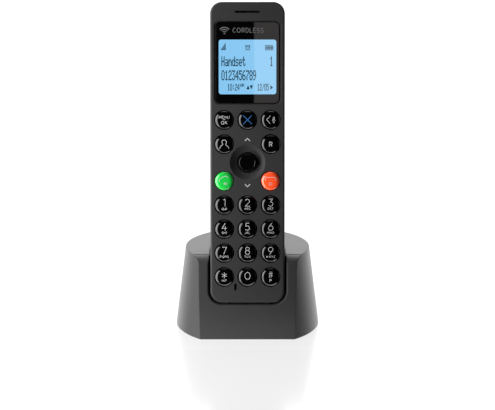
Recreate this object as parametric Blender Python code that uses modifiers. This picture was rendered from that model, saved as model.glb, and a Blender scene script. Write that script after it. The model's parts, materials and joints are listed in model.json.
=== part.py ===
"""Cordless phone: a slim handset that stands, leaning back, in the pocket of its base.

Run with: blender --background --python part.py
Metres, +Z up, the keys face -Y. The origin is on the surface that the base stands on, at the
middle of the base's footprint. The handset is modelled upright in its own frame (x across the keys,
y from the front face into the case, z from the bottom end up), under an empty that leans it back.
"""

import math

import bmesh
import bpy
from mathutils import Matrix, Vector

MM = 0.001

# ---- driving dimensions ------------------------------------------------------------------------
GAP = 0.3 * MM  # clearance between neighbouring pieces

HANDSET_WIDTH = 43.0 * MM
HANDSET_LENGTH = 173.2 * MM
HANDSET_DEPTH = 22.0 * MM
HANDSET_CORNER = 6.9 * MM
FRONT_EDGE_ROUND = 1.3 * MM
REAR_EDGE_ROUND = 4.5 * MM
SPLIT_DEPTH = 8.0 * MM  # where the front and rear covers meet
FRONT_WALL = 2.4 * MM
CASE_WALL = 1.6 * MM

LEAN = math.radians(11.1)  # of the handset and of the base's flat front

BASE_BOTTOM_RADIUS = 42.5 * MM
BASE_TOP_RADIUS = 36.5 * MM
BASE_HEIGHT = 47.9 * MM
BASE_FRONT_BOTTOM = 32.4 * MM  # from the cone's axis to the flat front, at the bottom edge
BASE_FRONT_ROUND = 6.0 * MM  # between the flat front and the top
BASE_WALL = 2.0 * MM
FOOT_STAND = 0.4 * MM  # height of the base's edge above the table
SEAT_HEIGHT = 21.6 * MM  # height of the handset's lower front edge
HANDSET_PROUD = 0.4 * MM  # of the handset's face beyond the flat front

POCKET_SIDE = 1.1 * MM  # clearance beside and under the handset
POCKET_BACK = 0.9 * MM
POCKET_WALL = 1.6 * MM

KEY_COLUMN = 13.35 * MM
KEY_ROWS = [15.0 * MM, 28.9 * MM, 42.8 * MM, 56.7 * MM]
CALL_ROW = 70.6 * MM
NAV_HEIGHT = 81.2 * MM
SIDE_ROW = 91.8 * MM
MENU_ROW = 105.7 * MM
KEY_RADIUS = 5.3 * MM
KEY_HOLE = 5.65 * MM
KEY_FLANGE = 6.0 * MM
KEY_PROUD = 1.2 * MM

DISH_RADIUS = 10.3 * MM
DISH_DEPTH = 2.2 * MM
KNOB_HOLE = 7.0 * MM
KNOB_SKIRT = 6.3 * MM
KNOB_TOP = 4.9 * MM

LENS_WIDTH = 36.6 * MM
LENS_BOTTOM = 115.2 * MM
LENS_TOP = 161.7 * MM
LENS_CORNER = 2.9 * MM
LENS_GROOVE = 0.9 * MM
LENS_THICKNESS = 1.2 * MM
WINDOW_WIDTH = 33.0 * MM
WINDOW_BOTTOM = 120.4 * MM
WINDOW_TOP = 151.6 * MM

EARPIECE_HEIGHT = 167.4 * MM
MICROPHONE_X = -6.9 * MM
MICROPHONE_HEIGHT = 9.2 * MM

DOOR_WIDTH = 33.0 * MM
DOOR_BOTTOM = 41.0 * MM
DOOR_TOP = 103.0 * MM
DOOR_THICKNESS = 1.5 * MM
CELL_RADIUS = 5.25 * MM
CELL_LENGTH = 44.5 * MM
CELL_BOTTOM = 47.5 * MM
CELL_X = 5.6 * MM
CELL_DEPTH = 14.65 * MM  # of the cells' axes behind the front face

SCREW_X = KEY_COLUMN / 2
SCREW_HEIGHT = (SIDE_ROW + MENU_ROW) / 2

CONTACT_X = 8.0 * MM
CONTACT_DEPTH = 13.0 * MM

# ---- derived -----------------------------------------------------------------------------------
AXIS_Y = (BASE_FRONT_BOTTOM - BASE_BOTTOM_RADIUS) / 2  # of the cone, so that the footprint is centred
WALL_SLOPE = (BASE_BOTTOM_RADIUS - BASE_TOP_RADIUS) / (BASE_HEIGHT - FOOT_STAND)
INNER_WIDTH = HANDSET_WIDTH - 2 * CASE_WALL


def front_offset(height):
    """How far the flat front stands from the cone's axis at this height."""
    return BASE_FRONT_BOTTOM - (height - FOOT_STAND) * math.tan(LEAN)


def base_radius(height):
    """The cone's outer radius at this height."""
    return BASE_BOTTOM_RADIUS - (height - FOOT_STAND) * WALL_SLOPE


HANDSET_Y = AXIS_Y - front_offset(SEAT_HEIGHT) - HANDSET_PROUD

# ---- scene and materials -----------------------------------------------------------------------
for old in list(bpy.data.objects):
    bpy.data.objects.remove(old)

parts = bpy.data.collections.new("cordless_phone")
cutters = bpy.data.collections.new("cutters")
cutters.hide_render = True
bpy.context.scene.collection.children.link(parts)
bpy.context.scene.collection.children.link(cutters)


def finish(name, colour, roughness, metallic=0.0):
    """A Principled material."""
    material = bpy.data.materials.new(name)
    material.use_nodes = True
    shader = material.node_tree.nodes["Principled BSDF"]
    shader.inputs["Base Color"].default_value = (*colour, 1.0)
    shader.inputs["Roughness"].default_value = roughness
    shader.inputs["Metallic"].default_value = metallic
    return material


CASE_GREY = finish("case_grey", (0.045, 0.045, 0.046), 0.55)
BASE_GREY = finish("base_grey", (0.06, 0.06, 0.061), 0.5)
KEY_BLACK = finish("key_black", (0.004, 0.004, 0.004), 0.15)
KEY_GREEN = finish("key_green", (0.02, 0.45, 0.05), 0.2)
KEY_RED = finish("key_red", (0.85, 0.07, 0.02), 0.2)
LENS_BLACK = finish("lens_black", (0.01, 0.01, 0.01), 0.05)
LCD_BLUE = finish("lcd_blue", (0.25, 0.6, 0.95), 0.3)
RUBBER = finish("rubber", (0.02, 0.02, 0.02), 0.8)
BOARD_GREEN = finish("board_green", (0.02, 0.16, 0.06), 0.5)
STEEL = finish("steel", (0.6, 0.6, 0.6), 0.3, 1.0)
GOLD = finish("contact_gold", (0.8, 0.6, 0.25), 0.25, 1.0)
WHITE = finish("white_plastic", (0.8, 0.8, 0.8), 0.4)
CELL_WRAP = finish("cell_wrap", (0.03, 0.25, 0.2), 0.35)

handset = bpy.data.objects.new("handset_lean", None)
parts.objects.link(handset)
handset.location = (0, HANDSET_Y, SEAT_HEIGHT)
handset.rotation_euler = (-LEAN, 0, 0)


# ---- tools -------------------------------------------------------------------------------------
def place(name, bm, material, parent=None, location=(0, 0, 0), rotation=(0, 0, 0)):
    """Makes a named part from a bmesh. No material makes it a cutter."""
    bmesh.ops.recalc_face_normals(bm, faces=bm.faces[:])
    mesh = bpy.data.meshes.new(name)
    bm.to_mesh(mesh)
    bm.free()
    obj = bpy.data.objects.new(name, mesh)
    obj.location = location
    obj.rotation_euler = rotation
    obj.parent = parent
    if material is None:
        cutters.objects.link(obj)
        obj.hide_render = True
        obj.display_type = "WIRE"
    else:
        parts.objects.link(obj)
        mesh.materials.append(material)
    return obj


def rounded_rectangle(x, z, radius, steps=4):
    """Outline in the XZ plane. x and z are (low, high)."""
    points = []
    corners = ((x[1], z[0], -90), (x[1], z[1], 0), (x[0], z[1], 90), (x[0], z[0], 180))
    for corner_x, corner_z, start in corners:
        centre_x = corner_x - math.copysign(radius, corner_x - (x[0] + x[1]) / 2)
        centre_z = corner_z - math.copysign(radius, corner_z - (z[0] + z[1]) / 2)
        for step in range(steps + 1):
            angle = math.radians(start + 90 * step / steps)
            points.append((centre_x + radius * math.cos(angle), centre_z + radius * math.sin(angle)))
    return points


def slab(outline, y, front_round=0.0, rear_round=0.0, segments=3):
    """A bmesh: the outline in XZ, from y[0] to y[1], with rounded front and rear edges."""
    bm = bmesh.new()
    front = [bm.verts.new((px, y[0], pz)) for px, pz in outline]
    face = bm.faces.new(front)
    grown = bmesh.ops.extrude_face_region(bm, geom=[face])["geom"]
    rear = [v for v in grown if isinstance(v, bmesh.types.BMVert)]
    bmesh.ops.translate(bm, verts=rear, vec=(0, y[1] - y[0], 0))
    for side_y, radius in ((y[0], front_round), (y[1], rear_round)):
        if radius:
            rim = [e for e in bm.edges if all(abs(v.co.y - side_y) < 1e-7 for v in e.verts)]
            bmesh.ops.bevel(bm, geom=rim, offset=radius, segments=segments, profile=0.5, affect="EDGES")
    return bm


def block(x, y, z):
    """A bmesh: a box from its limits."""
    bm = bmesh.new()
    bmesh.ops.create_cube(bm, size=1.0)
    size = Vector((x[1] - x[0], y[1] - y[0], z[1] - z[0]))
    middle = Vector((x[0] + x[1], y[0] + y[1], z[0] + z[1])) / 2
    stretch = Matrix.Diagonal((*size, 1))
    bmesh.ops.transform(bm, matrix=Matrix.Translation(middle) @ stretch, verts=bm.verts[:])
    return bm


def rod(radius, low, high, sides=12, top_radius=None, along="Z", at=(0, 0, 0)):
    """A bmesh: a round bar or cone along Z or Y, from low to high on that axis, centred on at."""
    bm = bmesh.new()
    far = radius if top_radius is None else top_radius
    bmesh.ops.create_cone(bm, cap_ends=True, segments=sides, radius1=radius, radius2=far, depth=high - low)
    lift = Matrix.Translation((0, 0, (low + high) / 2))
    turn = Matrix.Rotation(math.radians(-90), 4, "X") if along == "Y" else Matrix.Identity(4)
    bmesh.ops.transform(bm, matrix=Matrix.Translation(at) @ turn @ lift, verts=bm.verts[:])
    return bm


def turned(name, profile, material, sides, parent=None, location=(0, 0, 0), rotation=(0, 0, 0)):
    """A solid of revolution about its own Z: profile is (radius, height), from the top down."""
    bm = bmesh.new()
    points = [bm.verts.new((radius, 0, height)) for radius, height in profile]
    for first, second in zip(points, points[1:]):
        bm.edges.new((first, second))
    mesh = bpy.data.meshes.new(name)
    bm.to_mesh(mesh)
    bm.free()
    obj = bpy.data.objects.new(name, mesh)
    parts.objects.link(obj)
    obj.location = location
    obj.rotation_euler = rotation
    obj.parent = parent
    mesh.materials.append(material)
    screw = obj.modifiers.new("turn", "SCREW")
    screw.steps = sides
    screw.render_steps = sides
    screw.use_merge_vertices = True
    screw.merge_threshold = 0.00001
    return obj


def boolean(target, other, operation):
    """Adds a Boolean to target."""
    modifier = target.modifiers.new(f"{operation.lower()}_{other.name}", "BOOLEAN")
    modifier.operation = operation
    modifier.object = other


def cut(target, name, bm, parent=None):
    """Cuts the bmesh's shape out of target."""
    boolean(target, place(name, bm, None, parent), "DIFFERENCE")


def add(target, name, bm, parent=None):
    """Joins the bmesh's shape to target."""
    boolean(target, place(name, bm, None, parent), "UNION")


def smooth(obj, angle=30):
    """Shades a plain mesh part smooth, with its edges left sharp."""
    obj.data.shade_smooth()
    obj.data.set_sharp_from_angle(angle=math.radians(angle))


FACING_OUT = (math.radians(90), 0, 0)  # turns an object's +Z to the handset's front, -Y


# ---- handset: covers ---------------------------------------------------------------------------
def case_outline(inset=0.0):
    """The handset's front outline, moved inwards by inset."""
    half = HANDSET_WIDTH / 2 - inset
    return rounded_rectangle((-half, half), (inset, HANDSET_LENGTH - inset), HANDSET_CORNER - inset)


def key_places():
    """Name, x and z of every round key."""
    columns = (-KEY_COLUMN, 0.0, KEY_COLUMN)
    rows = [("key_star", "key_0", "key_hash"), ("key_7", "key_8", "key_9")]
    rows += [("key_4", "key_5", "key_6"), ("key_1", "key_2", "key_3")]
    places = [(n, x, z) for names, z in zip(rows, KEY_ROWS) for n, x in zip(names, columns)]
    places += [("key_call", -KEY_COLUMN, CALL_ROW), ("key_end", KEY_COLUMN, CALL_ROW)]
    places += [("key_contacts", -KEY_COLUMN, SIDE_ROW), ("key_recall", KEY_COLUMN, SIDE_ROW)]
    names = ("key_menu", "key_cancel", "key_back")
    places += [(n, x, MENU_ROW) for n, x in zip(names, columns)]
    return places


def lens_outline(grow):
    """The display lens's outline, moved outwards by grow."""
    half = LENS_WIDTH / 2 + grow
    return rounded_rectangle((-half, half), (LENS_BOTTOM - grow, LENS_TOP + grow), LENS_CORNER + grow)


def window_outline(grow, radius):
    """The display window's outline, moved outwards by grow."""
    half = WINDOW_WIDTH / 2 + grow
    return rounded_rectangle((-half, half), (WINDOW_BOTTOM - grow, WINDOW_TOP + grow), radius, steps=2)


def front_cover():
    """Front shell with the holes for the keys, the knob in its dish, the lens and the sound."""
    rim = SPLIT_DEPTH - GAP / 2
    cover = place("front_cover", slab(case_outline(), (0, rim), FRONT_EDGE_ROUND), CASE_GREY, handset)
    cut(cover, "front_hollow", slab(case_outline(CASE_WALL), (FRONT_WALL, rim + 1 * MM)), handset)
    dish_back = rod(10.4 * MM, 2.0 * MM, 3.9 * MM, 24, along="Y", at=(0, 0, NAV_HEIGHT))
    add(cover, "dish_back", dish_back, handset)
    over = 1.0 * MM  # the dish's cutter starts in front of the face, on the same slope
    slope = (DISH_RADIUS - KNOB_HOLE) / DISH_DEPTH
    dish = rod(DISH_RADIUS + over * slope, -over, DISH_DEPTH, 24, KNOB_HOLE, "Y", (0, 0, NAV_HEIGHT))
    cut(cover, "dish", dish, handset)
    cut(cover, "knob_hole", rod(KNOB_HOLE, 1 * MM, 5 * MM, 24, along="Y", at=(0, 0, NAV_HEIGHT)), handset)
    for name, x, z in key_places():
        hole = rod(KEY_HOLE, -1 * MM, FRONT_WALL + 1 * MM, 16, along="Y", at=(x, 0, z))
        cut(cover, f"hole_{name}", hole, handset)
    recess_floor = 1.65 * MM
    cut(cover, "lens_recess", slab(lens_outline(LENS_GROOVE), (-1 * MM, 0.6 * MM)), handset)
    cut(cover, "lens_seat", slab(lens_outline(GAP), (-1 * MM, recess_floor)), handset)
    cut(cover, "display_window", slab(window_outline(0.4 * MM, 1 * MM), (0, 3 * MM)), handset)
    height = 1.25 * MM
    groove = rounded_rectangle(
        (-7.2 * MM, 7.2 * MM), (EARPIECE_HEIGHT - height / 2, EARPIECE_HEIGHT + height / 2), 0.6 * MM, 2
    )
    cut(cover, "earpiece_groove", slab(groove, (-1 * MM, 0.7 * MM)), handset)
    slot = block(
        (-3.6 * MM, 3.6 * MM),
        (-1 * MM, 3 * MM),
        (EARPIECE_HEIGHT - height / 2 + 0.05 * MM, EARPIECE_HEIGHT + height / 2 - 0.05 * MM),
    )
    cut(cover, "earpiece_slot", slot, handset)
    sound_hole = block(
        (MICROPHONE_X - 0.6 * MM, MICROPHONE_X + 0.6 * MM),
        (-1 * MM, 3 * MM),
        (MICROPHONE_HEIGHT - 2 * MM, MICROPHONE_HEIGHT + 2 * MM),
    )
    cut(cover, "microphone_slot", sound_hole, handset)
    for side in (-1, 1):
        at = (side * SCREW_X, 0, SCREW_HEIGHT)
        add(cover, f"screw_post_{side}", rod(2.2 * MM, 2.2 * MM, 6.9 * MM, along="Y", at=at), handset)
        cut(cover, f"screw_post_hole_{side}", rod(1.2 * MM, 2.9 * MM, 8 * MM, along="Y", at=at), handset)


BAY_X = 12.1 * MM
BAY_Z = (44.2 * MM, 93.2 * MM)
BAY_FLOOR = 9.2 * MM
DOOR_SEAT = HANDSET_DEPTH - DOOR_THICKNESS - GAP


def door_outline(grow=0.0):
    """The battery door's outline, moved outwards by grow."""
    half = DOOR_WIDTH / 2 + grow
    return rounded_rectangle((-half, half), (DOOR_BOTTOM - grow, DOOR_TOP + grow), 3 * MM + grow, 3)


def rear_cover():
    """Rear shell with the battery bay, the door's seat, the loudspeaker's slots and the pad windows."""
    low = SPLIT_DEPTH + GAP / 2
    body = slab(case_outline(), (low, HANDSET_DEPTH), 0, REAR_EDGE_ROUND, 4)
    cover = place("rear_cover", body, CASE_GREY, handset)
    inner_rear = HANDSET_DEPTH - CASE_WALL
    inner_round = REAR_EDGE_ROUND - CASE_WALL
    hollow = slab(case_outline(CASE_WALL), (low - 1 * MM, inner_rear), 0, inner_round)
    cut(cover, "rear_hollow", hollow, handset)
    wall = 1.2 * MM
    bay = block(
        (-BAY_X - wall, BAY_X + wall),
        (BAY_FLOOR - 0.7 * MM, inner_rear + 0.4 * MM),
        (BAY_Z[0] - wall, BAY_Z[1] + wall),
    )
    add(cover, "bay_walls", bay, handset)
    seat_x = DOOR_WIDTH / 2 + 1.1 * MM
    seat_y = (DOOR_SEAT - 1.6 * MM, inner_rear + 0.5 * MM)
    seat = block((-seat_x, seat_x), seat_y, (DOOR_BOTTOM - 1.4 * MM, DOOR_TOP + 1.4 * MM))
    add(cover, "door_seat", seat, handset)
    for side in (-1, 1):
        at = (side * SCREW_X, 0, SCREW_HEIGHT)
        post = rod(2.6 * MM, 8.5 * MM, DOOR_SEAT - 1 * MM, along="Y", at=at)
        add(cover, f"rear_post_{side}", post, handset)
        cut(cover, f"rear_post_hole_{side}", rod(1.2 * MM, 7 * MM, 24 * MM, along="Y", at=at), handset)
        head = rod(2.1 * MM, DOOR_SEAT - 1.4 * MM, 24 * MM, along="Y", at=at)
        cut(cover, f"rear_counterbore_{side}", head, handset)
        window = block(
            (side * CONTACT_X - 2.3 * MM, side * CONTACT_X + 2.3 * MM),
            (CONTACT_DEPTH - 2.3 * MM, CONTACT_DEPTH + 2.3 * MM),
            (-1 * MM, 3 * MM),
        )
        cut(cover, f"pad_window_{side}", window, handset)
    cut(cover, "bay", block((-BAY_X, BAY_X), (BAY_FLOOR, 24 * MM), BAY_Z), handset)
    cut(cover, "door_recess", slab(door_outline(GAP), (DOOR_SEAT, 24 * MM)), handset)
    notch = block((-9 * MM, 9 * MM), (DOOR_SEAT - 3 * MM, 24 * MM), (DOOR_BOTTOM, BAY_Z[0] + 1 * MM))
    cut(cover, "hook_slot", notch, handset)
    for row in range(-2, 3):
        z = 124 * MM + row * 2.8 * MM
        half = math.sqrt((9 * MM) ** 2 - (z - 124 * MM) ** 2) - 1 * MM
        slot = block((-half, half), (HANDSET_DEPTH - 3 * MM, 24 * MM), (z - 0.6 * MM, z + 0.6 * MM))
        cut(cover, f"loudspeaker_slot_{row}", slot, handset)


def battery_door():
    """Door over the cells. It unclips at the top and swings out on hooks at its lower edge."""
    hinge = Vector((0, HANDSET_DEPTH, DOOR_BOTTOM))
    plate = slab(door_outline(), (HANDSET_DEPTH - DOOR_THICKNESS, HANDSET_DEPTH), 0, 0.3 * MM, 1)
    door = place("battery_door", plate, CASE_GREY, handset, hinge)
    door.data.transform(Matrix.Translation(-hinge))
    for side in (-1, 1):
        x = side * 6 * MM
        hook = block(
            (x - 2 * MM, x + 2 * MM),
            (HANDSET_DEPTH - 2.6 * MM, HANDSET_DEPTH - DOOR_THICKNESS + 0.3 * MM),
            (DOOR_BOTTOM + 0.5 * MM, DOOR_BOTTOM + 2.0 * MM),
        )
        add(door, f"door_hook_{side}", hook, handset)
    grip = rod(3 * MM, HANDSET_DEPTH - 0.6 * MM, 24 * MM, 16, along="Y", at=(0, 0, DOOR_TOP - 6 * MM))
    cut(door, "door_grip", grip, handset)


# ---- handset: display, boards and sound --------------------------------------------------------
def display():
    """Lens, liquid crystal panel, light guide and the frame that holds them."""
    lens_y = (0.15 * MM, 0.15 * MM + LENS_THICKNESS)
    place("display_lens", slab(lens_outline(0), lens_y, 0.25 * MM, 0, 1), LENS_BLACK, handset)
    panel = window_outline(0.7 * MM, 0.8 * MM)
    place("lcd_panel", slab(panel, (2.8 * MM, 4.6 * MM)), LCD_BLUE, handset)
    place("light_guide", slab(panel, (4.9 * MM, 6.5 * MM)), WHITE, handset)
    half = INNER_WIDTH / 2 - 0.7 * MM
    outer = rounded_rectangle((-half, half), (112.4 * MM, 161.3 * MM), 1 * MM, 2)
    frame = place("lcd_frame", slab(outer, (FRONT_WALL + GAP, 6.9 * MM)), WHITE, handset)
    cut(frame, "lcd_frame_window", slab(window_outline(1.0 * MM, 1.1 * MM), (0, 9 * MM)), handset)


def boards():
    """Main board, and the silicone mat whose domes press on it."""
    half = 19.3 * MM
    outline = rounded_rectangle((-half, half), (4 * MM, 168 * MM), 4 * MM, 2)
    board = place("main_board", slab(outline, (7.2 * MM, 8.2 * MM)), BOARD_GREEN, handset)
    outline = rounded_rectangle((-half, half), (8.5 * MM, 111.8 * MM), 3 * MM, 2)
    mat = place("keypad_mat", slab(outline, (4.2 * MM, 4.9 * MM)), RUBBER, handset)
    for name, x, z in key_places():
        add(mat, f"dome_{name}", rod(2.4 * MM, 4.5 * MM, 6.9 * MM, 8, along="Y", at=(x, 0, z)), handset)
    window = block((-7 * MM, 7 * MM), (3 * MM, 8 * MM), (NAV_HEIGHT - 7 * MM, NAV_HEIGHT + 7 * MM))
    cut(mat, "mat_window", window, handset)
    for side in (-1, 1):
        at = (side * SCREW_X, 0, SCREW_HEIGHT)
        cut(mat, f"mat_hole_{side}", rod(2.6 * MM, 3 * MM, 8 * MM, along="Y", at=at), handset)
        cut(board, f"board_hole_{side}", rod(1.3 * MM, 6 * MM, 9 * MM, along="Y", at=at), handset)


def sound():
    """Earpiece capsule, rear loudspeaker and microphone."""
    span = (EARPIECE_HEIGHT - 3.7 * MM, EARPIECE_HEIGHT + 3.7 * MM)
    outline = rounded_rectangle((-8 * MM, 8 * MM), span, 2 * MM, 2)
    place("earpiece_speaker", slab(outline, (FRONT_WALL + GAP, 6 * MM)), STEEL, handset)
    round_back = rod(9 * MM, 10.5 * MM, 18.7 * MM, 24, along="Y", at=(0, 0, 124 * MM))
    place("loudspeaker", round_back, STEEL, handset)
    at = (MICROPHONE_X, 0, MICROPHONE_HEIGHT)
    place("microphone", rod(2.6 * MM, FRONT_WALL + GAP, 3.9 * MM, along="Y", at=at), STEEL, handset)


# ---- handset: keys and knob --------------------------------------------------------------------
def keys():
    """Round keys with a domed cap, held behind the front wall by a flange."""
    top = KEY_PROUD
    profile = [
        (0.0, top),
        (3.4 * MM, top - 0.15 * MM),
        (4.7 * MM, top - 0.6 * MM),
        (KEY_RADIUS, top - 1.3 * MM),
        (KEY_RADIUS, -FRONT_WALL - GAP),
        (KEY_FLANGE, -FRONT_WALL - GAP),
        (KEY_FLANGE, -FRONT_WALL - GAP - 0.7 * MM),
        (0.0, -FRONT_WALL - GAP - 0.7 * MM),
    ]
    colours = {"key_call": KEY_GREEN, "key_end": KEY_RED}
    for name, x, z in key_places():
        turned(name, profile, colours.get(name, KEY_BLACK), 16, handset, (x, 0, z), FACING_OUT)


KNOB_PIVOT = 6.0 * MM  # depth of the point that the knob rocks about


def nav_knob():
    """Knob that rocks up and down in its dish, on a stem over its switch."""
    p = KNOB_PIVOT
    profile = [
        (0.0, p + 0.7 * MM),
        (3.9 * MM, p + 1.0 * MM),
        (KNOB_TOP, p + 0.6 * MM),
        (5.4 * MM, p - 1.4 * MM),
        (KNOB_SKIRT, p - 2.6 * MM),
        (KNOB_SKIRT, p - 3.4 * MM),
        (1.6 * MM, p - 3.4 * MM),
        (1.6 * MM, 0.3 * MM),
        (0.0, 0.0),
    ]
    turned("nav_knob", profile, KEY_BLACK, 20, handset, (0, KNOB_PIVOT, NAV_HEIGHT), FACING_OUT)
    half = 3.5 * MM
    switch = block((-half, half), (6.3 * MM, 6.9 * MM), (NAV_HEIGHT - half, NAV_HEIGHT + half))
    place("nav_switch", switch, STEEL, handset)


# ---- handset: power ----------------------------------------------------------------------------
def spring(name, x, low, high, depth):
    """Cone spring between the bay's end and a cell."""
    turns = 3
    per_turn = 8
    curve = bpy.data.curves.new(name, "CURVE")
    curve.dimensions = "3D"
    curve.bevel_depth = 0.25 * MM
    curve.bevel_resolution = 0
    curve.use_fill_caps = True
    spline = curve.splines.new("POLY")
    spline.points.add(turns * per_turn)
    for index, point in enumerate(spline.points):
        share = index / (turns * per_turn)
        angle = 2 * math.pi * turns * share
        radius = (3.4 - 1.2 * share) * MM
        z = low + (high - low) * share
        point.co = (radius * math.cos(angle), radius * math.sin(angle), z, 1)
    obj = bpy.data.objects.new(name, curve)
    parts.objects.link(obj)
    obj.parent = handset
    obj.location = (x, depth, 0)
    curve.materials.append(STEEL)


def power():
    """Two AAA cells, their springs and link, and the pads that meet the base's contacts."""
    nub = 0.8 * MM
    profile = [
        (0.0, CELL_LENGTH),
        (1.9 * MM, CELL_LENGTH),
        (1.9 * MM, CELL_LENGTH - nub),
        (CELL_RADIUS, CELL_LENGTH - nub),
        (CELL_RADIUS, 0.0),
        (0.0, 0.0),
    ]
    for side, label in ((-1, "left"), (1, "right")):
        x = side * CELL_X
        turned(f"cell_{label}", profile, CELL_WRAP, 16, handset, (x, CELL_DEPTH, CELL_BOTTOM))
        spring(f"cell_spring_{label}", x, BAY_Z[0] + 0.6 * MM, CELL_BOTTOM - 0.6 * MM, CELL_DEPTH)
        pad_x = side * CONTACT_X
        pad = block(
            (pad_x - 2 * MM, pad_x + 2 * MM),
            (CONTACT_DEPTH - 2 * MM, CONTACT_DEPTH + 2 * MM),
            (0, 0.8 * MM),
        )
        place(f"charge_pad_{label}", pad, GOLD, handset)
        screw_profile = [
            (0.0, 0.0),
            (1.7 * MM, 0.0),
            (1.7 * MM, -1.0 * MM),
            (0.9 * MM, -1.0 * MM),
            (0.9 * MM, -14.8 * MM),
            (0.0, -15.2 * MM),
        ]
        head = (side * SCREW_X, DOOR_SEAT - 0.1 * MM, SCREW_HEIGHT)
        facing_back = (math.radians(-90), 0, 0)
        turned(f"case_screw_{label}", screw_profile, STEEL, 10, handset, head, facing_back)
    cell_top = CELL_BOTTOM + CELL_LENGTH
    link = block((-10.5 * MM, 10.5 * MM), (11 * MM, 18 * MM), (cell_top + GAP, cell_top + GAP + 0.5 * MM))
    place("cell_link", link, STEEL, handset)


# ---- base --------------------------------------------------------------------------------------
BASE_SCREWS = [(-35.5 * MM, AXIS_Y), (35.5 * MM, AXIS_Y), (0.0, -30.5 * MM)]
FEET = [(-26 * MM, -22 * MM), (26 * MM, -22 * MM), (-18 * MM, 22 * MM), (18 * MM, 22 * MM)]
FOOT_RADIUS = 4.0 * MM
BAY_WALL_Y = 28.0 * MM  # flat rear wall that the sockets open through
BOARD_TOP = 9.6 * MM
SOCKET_Z = (BOARD_TOP + GAP, BOARD_TOP + GAP + 11 * MM)
LINE_SOCKET_X = (5.8 * MM, 17.8 * MM)
POWER_SOCKET_X = (-17.0 * MM, -8.0 * MM)
PAGE_BUTTON_Z = 15.4 * MM


def cone(inset, low, high, sides):
    """A bmesh: the base's cone between two heights, its wall moved inwards by inset."""
    return rod(base_radius(low) - inset, low, high, sides, base_radius(high) - inset, at=(0, AXIS_Y, 0))


def front_profile(inset, low, high, radius):
    """A bmesh that keeps what lies behind the flat front: its YZ profile, rounded into the top."""
    angle = math.pi / 2 - LEAN
    reach = radius * math.tan(angle / 2)
    corner_y = AXIS_Y - front_offset(high) + inset
    arc = []
    steps = 5
    for step in range(steps + 1):
        turn = angle * step / steps
        arc.append((corner_y + reach - radius * math.sin(turn), high - radius * (1 - math.cos(turn))))
    foot_y = AXIS_Y - front_offset(low) + inset
    points = [(60 * MM, low), (60 * MM, high), *arc, (foot_y, low)]
    bm = bmesh.new()
    face = bm.faces.new([bm.verts.new((-60 * MM, y, z)) for y, z in points])
    grown = bmesh.ops.extrude_face_region(bm, geom=[face])["geom"]
    far = [v for v in grown if isinstance(v, bmesh.types.BMVert)]
    bmesh.ops.translate(bm, verts=far, vec=(120 * MM, 0, 0))
    return bm


def pocket(grow, floor, back):
    """A bmesh in the handset's frame: the pocket's U shape, open to the front and the top."""
    half = HANDSET_WIDTH / 2 + POCKET_SIDE + grow
    outline = rounded_rectangle((-half, half), (floor, 60 * MM), HANDSET_CORNER + POCKET_SIDE + grow)
    return slab(outline, (-8 * MM, back))


def base_shell():
    """Cone-shaped housing with a flat leaning front, the handset's pocket and a socket bay."""
    sides = 64
    shell = place("base_shell", cone(0, FOOT_STAND, BASE_HEIGHT, sides), BASE_GREY)
    front = place("flat_front", front_profile(0, -5 * MM, BASE_HEIGHT, BASE_FRONT_ROUND), None)
    boolean(shell, front, "INTERSECT")

    hollow = place("base_hollow", cone(BASE_WALL, -2 * MM, BASE_HEIGHT - BASE_WALL, sides), None)
    inner_front = front_profile(BASE_WALL, -6 * MM, BASE_HEIGHT - BASE_WALL, BASE_FRONT_ROUND - BASE_WALL)
    boolean(hollow, place("inner_front", inner_front, None), "INTERSECT")
    floor = -POCKET_SIDE
    back = HANDSET_DEPTH + POCKET_BACK
    walls = pocket(POCKET_WALL, floor - POCKET_WALL, back + POCKET_WALL)
    cut(hollow, "pocket_walls", walls, handset)
    bay_walls = block((-24 * MM, 24 * MM), (BAY_WALL_Y - BASE_WALL, 60 * MM), (4.5 * MM, 27 * MM))
    cut(hollow, "bay_walls_base", bay_walls)
    for index, (x, y) in enumerate(BASE_SCREWS):
        cut(hollow, f"boss_{index}", rod(3.2 * MM, 2.7 * MM, 24 * MM, at=(x, y, 0)))
    boolean(shell, hollow, "DIFFERENCE")

    cut(shell, "pocket", pocket(0, floor, back), handset)
    for side in (-1, 1):
        x = side * 12 * MM
        rib = block((x - 0.8 * MM, x + 0.8 * MM), (3 * MM, 19 * MM), (floor - 0.6 * MM, -GAP))
        add(shell, f"rest_rib_{side}", rib, handset)
        at = (side * CONTACT_X, CONTACT_DEPTH, 0)
        cut(shell, f"contact_hole_{side}", rod(1.6 * MM, -5 * MM, 1 * MM, at=at), handset)
    cut(shell, "socket_bay", block((-22 * MM, 22 * MM), (BAY_WALL_Y, 60 * MM), (6.5 * MM, 25 * MM)))
    wall = (BAY_WALL_Y - 4 * MM, BAY_WALL_Y + 2 * MM)
    for name, x in (("line_window", LINE_SOCKET_X), ("power_window", POWER_SOCKET_X)):
        window = block((x[0] - GAP, x[1] + GAP), wall, (SOCKET_Z[0] - GAP, SOCKET_Z[1] + GAP))
        cut(shell, name, window)
    cut(shell, "page_hole", rod(3.3 * MM, *wall, 16, along="Y", at=(0, 0, PAGE_BUTTON_Z)))
    for index, (x, y) in enumerate(BASE_SCREWS):
        cut(shell, f"boss_hole_{index}", rod(1.5 * MM, 0, 11 * MM, at=(x, y, 0)))


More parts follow.
